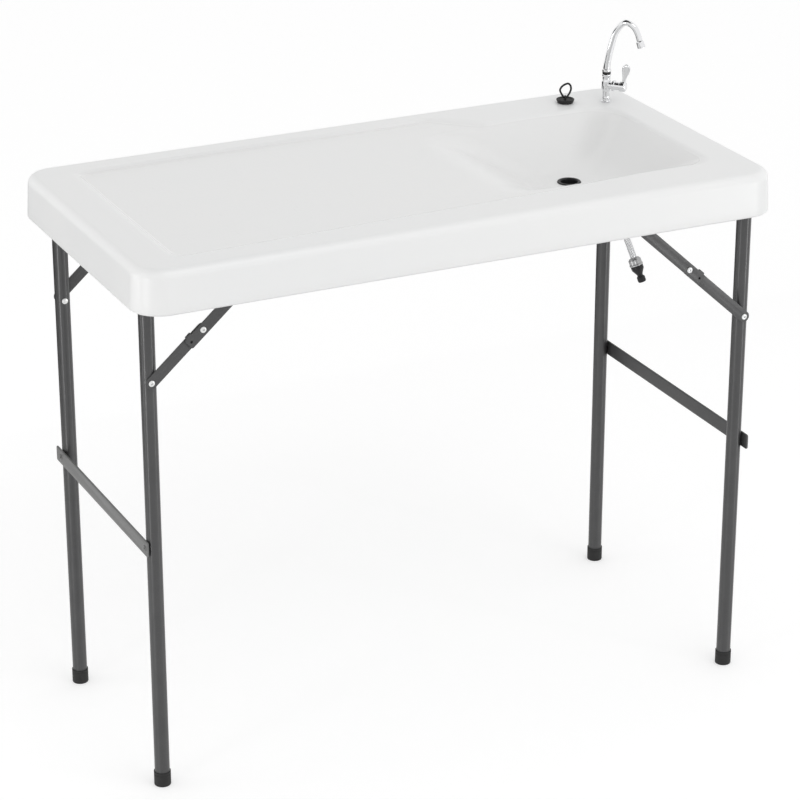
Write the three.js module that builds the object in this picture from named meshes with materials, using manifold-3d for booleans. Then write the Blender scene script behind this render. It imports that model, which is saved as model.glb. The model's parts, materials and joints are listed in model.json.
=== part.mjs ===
// Fish cleaning table: moulded top with a scooped basin, faucet, hose, plug and two folding leg frames.
// Millimetres, +X along the front edge to the faucet end, +Y to the back, +Z up, origin on the floor.
import * as THREE from 'three';
import { mergeVertices } from 'three/addons/utils/BufferGeometryUtils.js';
import Module from 'manifold-3d';

const wasm = await Module();
wasm.setup();

// Driving sizes of the table
const TOP_LENGTH = 1150;
const TOP_WIDTH = 570;
const TABLE_HEIGHT = 940;
const SKIRT_DEPTH = 72;
const SKIRT_WALL = 18;
const DECK_THICKNESS = 22;
const PLAN_CORNER_RADIUS = 52;
const TOP_EDGE_RADIUS = 16;
const BOTTOM_EDGE_RADIUS = 4;
const SKIRT_DRAFT = 3;
const FIT_GAP = 0.3;
const OVERRUN = 2;
const WELD = 0.0001;
const CORNER_STEPS = 6;
const PLATE_STEPS = 4;
const TUBE_SEGMENTS = 20;
const SMALL_SEGMENTS = 16;
const HEXAGON_SIDES = 6;

// Recessed work area, its corners measured in from the edges of the top
const RECESS_DEPTH = 5;
const RECESS_SLOPE = 8;
const RECESS_FROM_LEFT = 71;
const RECESS_LEFT_FROM_FRONT = 50;
const RECESS_LEFT_FROM_BACK = 54;
const RECESS_BEND_FROM_RIGHT = 385;
const RECESS_BEND_FROM_FRONT = 79;
const RECESS_BEND_FROM_BACK = 41;
const RECESS_FRONT_END_FROM_RIGHT = 210;
const RECESS_BACK_END_FROM_RIGHT = 313;
const RECESS_CORNER_RADIUS = 26;
const RECESS_BEND_RADIUS = 60;

// Scooped basin, its lip measured in from the edges of the top
const BASIN_DEPTH = 68;
const BASIN_WALL = 6;
const BASIN_SKIN = 3;
const BASIN_LENGTH = 357;
const BASIN_FROM_RIGHT = 68;
const BASIN_FROM_FRONT = 95;
const BASIN_FROM_BACK = 108;
const BASIN_RIM_RADIUS = 62;
const BASIN_FRONT_CORNER_RADIUS = 36;
const BASIN_FLOOR_RADIUS = 34;
const BASIN_RINGS = 10;
const BASIN_LIP_SHAPE = 0.75;
const DRAIN_FROM_RIGHT = 249;
const DRAIN_BEFORE_MIDDLE = 1;

// Drain fitting
const DRAIN_BORE_RADIUS = 15;
const DRAIN_TAIL_RADIUS = 18;
const DRAIN_FLANGE_RADIUS = 21;
const DRAIN_FLANGE_THICKNESS = 1.8;
const DRAIN_TAIL_LENGTH = 30;
const DRAIN_GASKET_THICKNESS = 2.5;
const DRAIN_NUT_HEIGHT = 8;
const DRAIN_NUT_RADIUS = 25;
const DRAIN_FLOOR_HALF = 37;

// Leg frames
const LEG_TUBE_RADIUS = 12.7;
const LEG_TUBE_WALL = 1.4;
const LEG_FROM_END = 40;
const PIVOT_BELOW_DECK = 18;
const LEG_OVER_PIVOT = 9;
const LEFT_LEG_FROM_SIDE = 85;
const RIGHT_LEG_FROM_SIDE = 48;
const PIVOT_TUBE_RADIUS = 11;
const PIVOT_TUBE_WALL = 1.4;
const FOOT_RADIUS = 14.2;
const FOOT_HEIGHT = 26;
const FOOT_FLOOR = 3;
const FOOT_EDGE = 1.5;
const CROSSBAR_HEIGHT = 440;
const CROSSBAR_WIDTH = 27;
const CROSSBAR_THICKNESS = 3;
const CROSSBAR_LONG_END = 23;
const CROSSBAR_SHORT_END = 11;
const CROSSBAR_CORNER = 4;

// Brackets under the deck
const PIVOT_BRACKET_FROM_LEG = 50;
const PIVOT_BRACKET_WIDTH = 30;
const PIVOT_BRACKET_THICKNESS = 2.5;
const PIVOT_BRACKET_FOOT = 17;
const CRADLE_WIDTH = 24;
const ANCHOR_PLATE = 2.2;
const ANCHOR_HALF_WIDTH = 9.5;
const ANCHOR_FOOT = 12.5;
const ANCHOR_OVER_LEG_DROP = 22;

// Folding braces
const LEFT_BRACE_DROP = 170;
const RIGHT_BRACE_DROP = 225;
const BRACE_HALF_WIDTH = 10;
const LOWER_LINK_THICKNESS = 2.2;
const UPPER_LINK_THICKNESS = 2;
const LINK_TO_TUBE = 0.4;
const LINK_SPACE = 2;
const LINK_TAIL = 34;
const LINK_TAIL_CORNER_SHARE = 0.35;
const STOP_TAB_START = 18;
const STOP_TAB_LENGTH = 11;
const STOP_TAB_THICKNESS = 2;
const STOP_TAB_TO_TUBE = 0.7;
const DIMPLE_RADIUS = 2.2;
const DIMPLE_FROM_ELBOW = 27;
const RIVET_SHANK_RADIUS = 2.7;
const RIVET_HEAD_RADIUS = 5.2;
const RIVET_HEAD_HEIGHT = 1.5;
const RIVET_SHOULDER_SHARE = 0.62;
const RIVET_COLLAR_RADIUS = 6;
const RIVET_SEGMENTS = 10;
const SCREW_HEAD_RADIUS = 3;
const SCREW_HEAD_HEIGHT = 1.8;
const SCREW_LIP_SHARE = 0.7;
const SCREW_SEGMENTS = 8;

// Faucet
const FAUCET_FROM_RIGHT = 70;
const FAUCET_FROM_BACK = 94;
const FAUCET_TURN = THREE.MathUtils.degToRad(-48);
const FAUCET_BASE_RADIUS = 7.4;
const FAUCET_BASE_HEIGHT = 7;
const FAUCET_BASE_STEP = 1;
const FAUCET_BODY_RADIUS = 8;
const FAUCET_WAIST_RADIUS = 6.8;
const FAUCET_BODY_HEIGHT = 52;
const FAUCET_SHANK_RADIUS = 5.8;
const FAUCET_SHANK_LENGTH = 47;
const SHANK_CHAMFER = 1;
const FAUCET_HOLE_RADIUS = 6.5;
const FAUCET_WASHER_RADIUS = 15;
const FAUCET_WASHER_THICKNESS = 1.8;
const FAUCET_NUT_RADIUS = 14;
const FAUCET_NUT_HEIGHT = 9;
const BARREL_HEIGHT = 31.5;
const BARREL_RADIUS = 7.5;
const BARREL_REACH = 25;
const BARREL_RING_RADIUS = 10;
const BARREL_RING_START = 12;
const BARREL_RING_WIDTH = 4;
const LEVER_HUB_RADIUS = 9.5;
const LEVER_HUB_LENGTH = 12;
const LEVER_HUB_EDGE = 1.5;
const LEVER_ROOT_HALF = 3.2;
const LEVER_TIP_HALF = 7.5;
const LEVER_TIP_HEIGHT = 42;
const LEVER_THICKNESS = 4.5;
const LEVER_LEAN = 7;
const SEAL_RADIUS = 7.6;
const SEAL_HEIGHT = 4;
const SPOUT_COLLAR_RADIUS = 7.8;
const SPOUT_COLLAR_HEIGHT = 5;
const SPOUT_ROOT = 3.4;
const SPOUT_REACH = 60;
const SPOUT_RISE = 90;
const SPOUT_RADIUS = 6.2;
const SPOUT_TIP_RADIUS = 5;
const SPOUT_STEPS = 20;
const SPOUT_SIDES = 12;
const AERATOR_RADIUS = 6.8;
const AERATOR_LENGTH = 13;
const AERATOR_EDGE = 1;

// Centre line of the spout from its root, as shares of its reach and of its rise
const SPOUT_PATH_SHARES = [
  [0, 0], [0.015, 0.14], [0.055, 0.3], [0.135, 0.54], [0.27, 0.81],
  [0.55, 1], [0.8, 0.93], [0.93, 0.8], [1, 0.66],
];

// Braided hose below the faucet
const HOSE_RADIUS = 5.8;
const HOSE_STEPS = 22;
const HOSE_SIDES = 5;
const HOSE_NUT_LAP = 8;
const HOSE_NUT_EDGE = 1.2;
const HOSE_TOP_NUT_RADIUS = 12;
const HOSE_TOP_NUT_HEIGHT = 16;
const HOSE_END_NUT_RADIUS = 12.5;
const HOSE_END_NUT_HEIGHT = 15;
const HOSE_END_NUT_SEGMENTS = 12;
const ADAPTER_TOP_RADIUS = 11.5;
const ADAPTER_LENGTH = 32;

// Profile of the adapter from the nut down, as shares of its top radius and of its length
const ADAPTER_PROFILE_SHARES = [
  [0, 0], [1, 0], [1, 0.22], [0.66, 0.42], [0.46, 0.55], [0.46, 0.62],
  [0.66, 0.68], [0.66, 0.94], [0.56, 1], [0, 1],
];

// Route of the hose from the lower face of its top nut to its end nut
const HOSE_ROUTE = [
  [0, 0, 0], [0, 0, -11], [0, -0.2, -23.5], [0.6, -1, -39.3],
  [2, -2.8, -56.9], [4, -5.4, -74.5], [6.6, -8.8, -92.1], [9.6, -12.8, -109.7],
  [13, -17.4, -127.3], [16.8, -22.4, -144.9], [20.8, -27.8, -162.5], [25, -33.6, -180.1],
  [29.4, -39.6, -197.7], [33.9, -45.8, -215.3], [38.4, -52, -232.9],
];

// Sink plug on the back rim
const PLUG_FROM_RIGHT = 139;
const PLUG_FROM_BACK = 68;
const PLUG_TOP_RADIUS = 16.2;
const PLUG_BOTTOM_RADIUS = 14;
const PLUG_HEIGHT = 7;
const PLUG_DISH = 1.5;
const PLUG_LUG_HEIGHT = 8;
const PLUG_LUG_HALF = 4.4;
const PLUG_LUG_THICKNESS = 2.6;
const PLUG_EYE_RADIUS = 2.3;
const RING_WIRE_RADIUS = 1.5;
const RING_HEIGHT = 26;
const RING_WIDTH = 20;
const RING_STEPS = 36;
const RING_SIDES = 3;
// Outline of the ring from its low end, as shares of half its width and of its height
const RING_OUTLINE_SHARES = [
  [0, 0], [0.2, 0.008], [0.42, 0.12], [0.8, 0.36], [1, 0.62], [0.88, 0.86], [0.5, 1],
  [-0.1, 0.95], [-0.7, 0.78], [-0.98, 0.56], [-0.75, 0.31], [-0.4, 0.1], [-0.2, 0.008],
];
const RING_TURN = THREE.MathUtils.degToRad(-20);

// Places that the sizes above give
const TOP_END = TOP_LENGTH / 2;
const TOP_SIDE = TOP_WIDTH / 2;
const BASIN_RIGHT = TOP_END - BASIN_FROM_RIGHT;
const BASIN_LEFT = BASIN_RIGHT - BASIN_LENGTH;
const BASIN_FRONT = -TOP_SIDE + BASIN_FROM_FRONT;
const BASIN_BACK = TOP_SIDE - BASIN_FROM_BACK;
const DRAIN_X = TOP_END - DRAIN_FROM_RIGHT;
const DRAIN_Y = -DRAIN_BEFORE_MIDDLE;
const LEG_PIVOT_X = TOP_END - LEG_FROM_END;
const LEFT_LEG_Y = TOP_SIDE - LEFT_LEG_FROM_SIDE;
const RIGHT_LEG_Y = TOP_SIDE - RIGHT_LEG_FROM_SIDE;
const PIVOT_BRACKET_Y = LEFT_LEG_Y - PIVOT_BRACKET_FROM_LEG;
const FAUCET_X = TOP_END - FAUCET_FROM_RIGHT;
const FAUCET_Y = TOP_SIDE - FAUCET_FROM_BACK;
const PLUG_X = TOP_END - PLUG_FROM_RIGHT;
const PLUG_Y = TOP_SIDE - PLUG_FROM_BACK;
const SKIRT_BOTTOM = TABLE_HEIGHT - SKIRT_DEPTH;
const DECK_UNDER = TABLE_HEIGHT - DECK_THICKNESS;
const PIVOT_HEIGHT = DECK_UNDER - PIVOT_BELOW_DECK;
const BASIN_FLOOR = TABLE_HEIGHT - BASIN_DEPTH;
const BASIN_UNDER = BASIN_FLOOR - BASIN_WALL;

// Layers of a brace, measured outwards from the axis of its leg tube
const LOWER_INNER = LEG_TUBE_RADIUS + LINK_TO_TUBE;
const LOWER_OUTER = LOWER_INNER + LOWER_LINK_THICKNESS;
const UPPER_INNER = LOWER_OUTER + LINK_SPACE;
const UPPER_OUTER = UPPER_INNER + UPPER_LINK_THICKNESS;

// Finishes
const FINISHES = {
  white_plastic: { color: 0xe9e9e7, roughness: 0.55, metalness: 0 },
  powder_coat: { color: 0x5c5c5c, roughness: 0.5, metalness: 0.3 },
  light_coat: { color: 0x7d7d7b, roughness: 0.5, metalness: 0.3 },
  zinc: { color: 0xd9dadb, roughness: 0.3, metalness: 0.9 },
  chrome: { color: 0xe4e6e8, roughness: 0.08, metalness: 1 },
  black_rubber: { color: 0x202020, roughness: 0.8, metalness: 0 },
  black_plastic: { color: 0x191919, roughness: 0.45, metalness: 0 },
  braided_steel: { color: 0xb7b9bb, roughness: 0.35, metalness: 0.8 },
};

const table = new THREE.Group();

// Adds one named sub-part to the table
function addPart(name, geometry, finish, parent = table) {
  const mesh = new THREE.Mesh(geometry, new THREE.MeshStandardMaterial(FINISHES[finish]));
  mesh.name = name;
  parent.add(mesh);
  return mesh;
}

function lerp(from, to, share) {
  return from + (to - from) * share;
}

// A closed geometry as a solid that can be cut and joined
function solid(geometry) {
  const bare = geometry.clone();
  bare.deleteAttribute('normal');
  bare.deleteAttribute('uv');
  const welded = mergeVertices(bare, WELD);
  const mesh = new wasm.Mesh({
    numProp: 3,
    vertProperties: Float32Array.from(welded.attributes.position.array),
    triVerts: Uint32Array.from(welded.index.array),
  });
  return new wasm.Manifold(mesh);
}

function geometryOf(manifold) {
  const mesh = manifold.getMesh();
  const geometry = new THREE.BufferGeometry();
  geometry.setAttribute('position', new THREE.BufferAttribute(mesh.vertProperties, 3));
  geometry.setIndex(new THREE.BufferAttribute(mesh.triVerts, 1));
  geometry.computeVertexNormals();
  return geometry;
}

// A polygon's corners moved inwards, or outwards where the inset is negative
function insetCorners(corners, inset) {
  return corners.map((corner, i) => {
    const before = corners[(i + corners.length - 1) % corners.length];
    const after = corners[(i + 1) % corners.length];
    const inward = new THREE.Vector2(corner.x - before.x, corner.y - before.y).normalize();
    const outward = new THREE.Vector2(after.x - corner.x, after.y - corner.y).normalize();
    const turn = inward.x * outward.y - inward.y * outward.x;
    const along = (1 - inward.dot(outward)) / turn;
    const x = corner.x + inset * (-inward.y - inward.x * along);
    const y = corner.y + inset * (inward.x - inward.y * along);
    return { x, y, radius: corner.radius - inset * Math.sign(turn) };
  });
}

// The outline of a polygon whose corners, given anticlockwise, are rounded by arcs
function roundedOutline(corners, steps) {
  const points = [];
  corners.forEach((corner, i) => {
    const before = corners[(i + corners.length - 1) % corners.length];
    const after = corners[(i + 1) % corners.length];
    const inward = new THREE.Vector2(corner.x - before.x, corner.y - before.y).normalize();
    const outward = new THREE.Vector2(after.x - corner.x, after.y - corner.y).normalize();
    const turn = Math.atan2(inward.x * outward.y - inward.y * outward.x, inward.dot(outward));
    const tangent = corner.radius * Math.tan(Math.abs(turn) / 2);
    const side = Math.sign(turn);
    const startX = corner.x - inward.x * tangent;
    const startY = corner.y - inward.y * tangent;
    const centreX = startX - inward.y * corner.radius * side;
    const centreY = startY + inward.x * corner.radius * side;
    for (let k = 0; k <= steps; k += 1) {
      const angle = (turn * k) / steps;
      const armX = startX - centreX;
      const armY = startY - centreY;
      const x = centreX + armX * Math.cos(angle) - armY * Math.sin(angle);
      const y = centreY + armX * Math.sin(angle) + armY * Math.cos(angle);
      points.push(new THREE.Vector2(x, y));
    }
  });
  return points;
}

function rectangleCorners(left, right, front, back, radius) {
  return [
    { x: left, y: front, radius },
    { x: right, y: front, radius },
    { x: right, y: back, radius },
    { x: left, y: back, radius },
  ];
}

// A closed body through outlines with equal point counts, from the lowest to the highest
function loft(rings) {
  const count = rings[0].outline.length;
  const positions = [];
  for (const ring of rings) {
    for (const point of ring.outline) {
      positions.push(point.x, point.y, ring.z);
    }
  }
  const index = [];
  for (let level = 0; level < rings.length - 1; level += 1) {
    for (let i = 0; i < count; i += 1) {
      const a = level * count + i;
      const b = level * count + ((i + 1) % count);
      index.push(a, b, b + count, a, b + count, a + count);
    }
  }
  const top = (rings.length - 1) * count;
  for (const [a, b, c] of THREE.ShapeUtils.triangulateShape(rings[0].outline, [])) {
    index.push(a, c, b);
  }
  for (const [a, b, c] of THREE.ShapeUtils.triangulateShape(rings[rings.length - 1].outline, [])) {
    index.push(top + a, top + b, top + c);
  }
  const geometry = new THREE.BufferGeometry();
  geometry.setAttribute('position', new THREE.Float32BufferAttribute(positions, 3));
  geometry.setIndex(index);
  return geometry;
}

// A turned body about +Z from a profile of [radius, height] pairs
function turned(profile, segments) {
  const points = profile.map(([radius, height]) => new THREE.Vector2(radius, height));
  return new THREE.LatheGeometry(points, segments).rotateX(Math.PI / 2);
}

function cylinder(radius, bottom, top, segments) {
  return turned([[0, bottom], [radius, bottom], [radius, top], [0, top]], segments);
}

// A tube about +Z with open ends
function pipe(radius, wall, bottom, top, segments) {
  const inner = radius - wall;
  const profile = [[inner, bottom], [radius, bottom], [radius, top], [inner, top], [inner, bottom]];
  return turned(profile, segments);
}

// A hexagon nut about +Z with a round bore
function nut(radius, bore, bottom, top, segments) {
  const hexagon = solid(cylinder(radius, bottom, top, HEXAGON_SIDES));
  return geometryOf(hexagon.subtract(solid(cylinder(bore, bottom - OVERRUN, top + OVERRUN, segments))));
}

// A flat plate in the X Z plane, from one distance along +Y to another
function plate(shape, near, far, curveSegments) {
  const geometry = new THREE.ExtrudeGeometry(shape, {
    depth: far - near, bevelEnabled: false, curveSegments,
  });
  return geometry.rotateX(Math.PI / 2).translate(0, far, 0);
}

// A plate mirrored to the front when its side is -1
function onSide(geometry, side) {
  if (side > 0) {
    return geometry;
  }
  geometry.scale(1, -1, 1);
  const index = geometry.index ? geometry : mergeVertices(geometry);
  const order = index.index.array;
  for (let i = 0; i < order.length; i += 3) {
    [order[i], order[i + 1]] = [order[i + 1], order[i]];
  }
  index.computeVertexNormals();
  return index;
}

function roundHole(shape, x, z, radius) {
  const hole = new THREE.Path();
  hole.absarc(x, z, radius, 0, 2 * Math.PI, true);
  shape.holes.push(hole);
}

// Half-turned profile of a rivet head, from its seat outwards
function headProfile(seat, radius, height) {
  const shoulder = radius * RIVET_SHOULDER_SHARE;
  return [[radius, seat], [radius, seat + height / 2], [shoulder, seat + height], [0, seat + height]];
}

// Depth of the basin at a share of the way from its lip to its floor
function basinFall(share) {
  return BASIN_DEPTH * Math.sin((Math.PI / 2) * share ** BASIN_LIP_SHAPE) ** 2;
}

// How far the ramp on the left has come by then: it leaves the floor of the recess without a crease
function rampShare(share) {
  const ramped = Math.max(0, basinFall(share) - RECESS_DEPTH) / (BASIN_DEPTH - RECESS_DEPTH);
  return (Math.asin(Math.sqrt(ramped)) * 2) / Math.PI;
}

// The basin's outline at a share of the way from its lip to its floor
function basinCorners(share, grow) {
  const left = lerp(BASIN_LEFT, DRAIN_X - DRAIN_FLOOR_HALF, rampShare(share)) - grow;
  const right = lerp(BASIN_RIGHT, DRAIN_X + DRAIN_FLOOR_HALF, share) + grow;
  const front = lerp(BASIN_FRONT, DRAIN_Y - DRAIN_FLOOR_HALF, share) - grow;
  const back = lerp(BASIN_BACK, DRAIN_Y + DRAIN_FLOOR_HALF, share) + grow;
  const radius = lerp(BASIN_RIM_RADIUS, BASIN_FLOOR_RADIUS, share) + grow;
  const corners = rectangleCorners(left, right, front, back, radius);
  corners[1].radius = lerp(BASIN_FRONT_CORNER_RADIUS, BASIN_FLOOR_RADIUS, share) + grow;
  return corners;
}

function basinBody(grow, drop) {
  const rings = [];
  for (let i = BASIN_RINGS; i >= 0; i -= 1) {
    const share = i / BASIN_RINGS;
    const outline = roundedOutline(basinCorners(share, grow), CORNER_STEPS);
    rings.push({ outline, z: TABLE_HEIGHT - basinFall(share) - drop });
  }
  return rings;
}

// The moulded top: skirt, deck, recess, basin, drain hole, faucet hole and the cradles of the pivot tubes
function makeTabletop() {
  const rim = rectangleCorners(-TOP_END, TOP_END, -TOP_SIDE, TOP_SIDE, PLAN_CORNER_RADIUS);
  const outside = [];
  outside.push({ inset: BOTTOM_EDGE_RADIUS, z: SKIRT_BOTTOM });
  outside.push({ inset: 0, z: SKIRT_BOTTOM + BOTTOM_EDGE_RADIUS });
  for (let k = 0; k <= CORNER_STEPS; k += 1) {
    const angle = ((Math.PI / 2) * k) / CORNER_STEPS;
    const inset = SKIRT_DRAFT + TOP_EDGE_RADIUS * (1 - Math.cos(angle));
    outside.push({ inset, z: TABLE_HEIGHT - TOP_EDGE_RADIUS * (1 - Math.sin(angle)) });
  }
  const shell = outside.map(({ inset, z }) => ({
    outline: roundedOutline(insetCorners(rim, inset), CORNER_STEPS), z,
  }));
  let top = solid(loft(shell));

  const cavity = insetCorners(rim, SKIRT_WALL);
  const cavityTop = insetCorners(cavity, SKIRT_DRAFT);
  top = top.subtract(solid(loft([
    { outline: roundedOutline(cavity, CORNER_STEPS), z: SKIRT_BOTTOM - OVERRUN },
    { outline: roundedOutline(cavityTop, CORNER_STEPS), z: DECK_UNDER },
  ])));

  top = top.add(solid(loft(basinBody(BASIN_SKIN, BASIN_WALL))));
  const scoop = basinBody(0, 0);
  scoop.push({ outline: scoop[scoop.length - 1].outline, z: TABLE_HEIGHT + OVERRUN });
  top = top.subtract(solid(loft(scoop)));

  const recessLeft = -TOP_END + RECESS_FROM_LEFT;
  const recessBend = TOP_END - RECESS_BEND_FROM_RIGHT;
  const frontEnd = TOP_END - RECESS_FRONT_END_FROM_RIGHT;
  const backEnd = TOP_END - RECESS_BACK_END_FROM_RIGHT;
  const recess = [
    { x: recessLeft, y: -TOP_SIDE + RECESS_LEFT_FROM_FRONT, radius: RECESS_CORNER_RADIUS },
    { x: recessBend, y: -TOP_SIDE + RECESS_BEND_FROM_FRONT, radius: RECESS_BEND_RADIUS },
    { x: frontEnd, y: BASIN_FRONT, radius: RECESS_CORNER_RADIUS },
    { x: backEnd, y: BASIN_BACK, radius: RECESS_CORNER_RADIUS },
    { x: recessBend, y: TOP_SIDE - RECESS_BEND_FROM_BACK, radius: RECESS_BEND_RADIUS },
    { x: recessLeft, y: TOP_SIDE - RECESS_LEFT_FROM_BACK, radius: RECESS_CORNER_RADIUS },
  ];
  const recessFloor = insetCorners(recess, RECESS_SLOPE);
  top = top.subtract(solid(loft([
    { outline: roundedOutline(recessFloor, CORNER_STEPS), z: TABLE_HEIGHT - RECESS_DEPTH },
    { outline: roundedOutline(recess, CORNER_STEPS), z: TABLE_HEIGHT },
    { outline: roundedOutline(recess, CORNER_STEPS), z: TABLE_HEIGHT + OVERRUN },
  ])));

  const drainRadius = DRAIN_TAIL_RADIUS + FIT_GAP;
  const drainHole = cylinder(drainRadius, BASIN_UNDER - OVERRUN, BASIN_FLOOR + OVERRUN, TUBE_SEGMENTS);
  top = top.subtract(solid(drainHole.translate(DRAIN_X, DRAIN_Y, 0)));
  const holeTop = TABLE_HEIGHT + OVERRUN;
  const faucetHole = cylinder(FAUCET_HOLE_RADIUS, DECK_UNDER - OVERRUN, holeTop, TUBE_SEGMENTS);
  top = top.subtract(solid(faucetHole.translate(FAUCET_X, FAUCET_Y, 0)));

  const cradleHeight = PIVOT_BELOW_DECK - PIVOT_TUBE_RADIUS - FIT_GAP + OVERRUN;
  const cradleMiddle = DECK_UNDER + OVERRUN - cradleHeight / 2;
  for (const end of [-1, 1]) {
    for (const side of [-1, 1]) {
      const cradle = new THREE.BoxGeometry(PIVOT_TUBE_RADIUS * 2, CRADLE_WIDTH, cradleHeight);
      cradle.translate(end * LEG_PIVOT_X, side * PIVOT_BRACKET_Y, cradleMiddle);
      top = top.add(solid(cradle));
    }
  }
  addPart('tabletop', geometryOf(top), 'white_plastic');
}

// Drain flange with its tail, gasket and nut
function makeDrain() {
  const drain = new THREE.Group();
  drain.position.set(DRAIN_X, DRAIN_Y, 0);
  table.add(drain);
  const seat = BASIN_FLOOR + FIT_GAP;
  const lip = seat + DRAIN_FLANGE_THICKNESS;
  const tailEnd = BASIN_UNDER - DRAIN_TAIL_LENGTH;
  addPart('drain_flange', turned([
    [DRAIN_BORE_RADIUS, tailEnd],
    [DRAIN_TAIL_RADIUS, tailEnd],
    [DRAIN_TAIL_RADIUS, seat],
    [DRAIN_FLANGE_RADIUS, seat],
    [DRAIN_FLANGE_RADIUS - DRAIN_FLANGE_THICKNESS / 2, lip],
    [DRAIN_BORE_RADIUS + DRAIN_FLANGE_THICKNESS, lip],
    [DRAIN_BORE_RADIUS, seat],
    [DRAIN_BORE_RADIUS, tailEnd],
  ], TUBE_SEGMENTS), 'black_plastic', drain);
  const gasketTop = BASIN_UNDER - FIT_GAP;
  const gasketBottom = gasketTop - DRAIN_GASKET_THICKNESS;
  const bore = DRAIN_TAIL_RADIUS + FIT_GAP;
  const gasket = pipe(DRAIN_NUT_RADIUS, DRAIN_NUT_RADIUS - bore, gasketBottom, gasketTop, TUBE_SEGMENTS);
  addPart('drain_gasket', gasket, 'black_rubber', drain);
  const nutTop = gasketBottom - FIT_GAP;
  const ring = nut(DRAIN_NUT_RADIUS, bore, nutTop - DRAIN_NUT_HEIGHT, nutTop, TUBE_SEGMENTS);
  addPart('drain_nut', ring, 'black_plastic', drain);
}

// A rivet turned about +Y: its profile is [radius, distance outwards] pairs
function rivet(profile, x, y, z, side) {
  const body = turned(profile, RIVET_SEGMENTS).rotateX((-side * Math.PI) / 2);
  return body.translate(x, y, z);
}

// A straight link between two pivots in the X Z plane, extended past the second by its tail
function linkShape(x1, z1, x2, z2, tail, holes) {
  const angle = Math.atan2(z2 - z1, x2 - x1);
  const length = Math.hypot(x2 - x1, z2 - z1) + tail;
  const shape = new THREE.Shape();
  shape.absarc(0, 0, BRACE_HALF_WIDTH, Math.PI / 2, (3 * Math.PI) / 2, false);
  if (tail > 0) {
    const corner = BRACE_HALF_WIDTH * LINK_TAIL_CORNER_SHARE;
    shape.lineTo(length - corner, -BRACE_HALF_WIDTH);
    shape.absarc(length - corner, -BRACE_HALF_WIDTH + corner, corner, -Math.PI / 2, 0, false);
    shape.absarc(length - corner, BRACE_HALF_WIDTH - corner, corner, 0, Math.PI / 2, false);
  } else {
    shape.absarc(length, 0, BRACE_HALF_WIDTH, -Math.PI / 2, Math.PI / 2, false);
  }
  shape.closePath();
  for (const [along, radius] of holes) {
    roundHole(shape, along, 0, radius);
  }
  return { shape, angle };
}

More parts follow.
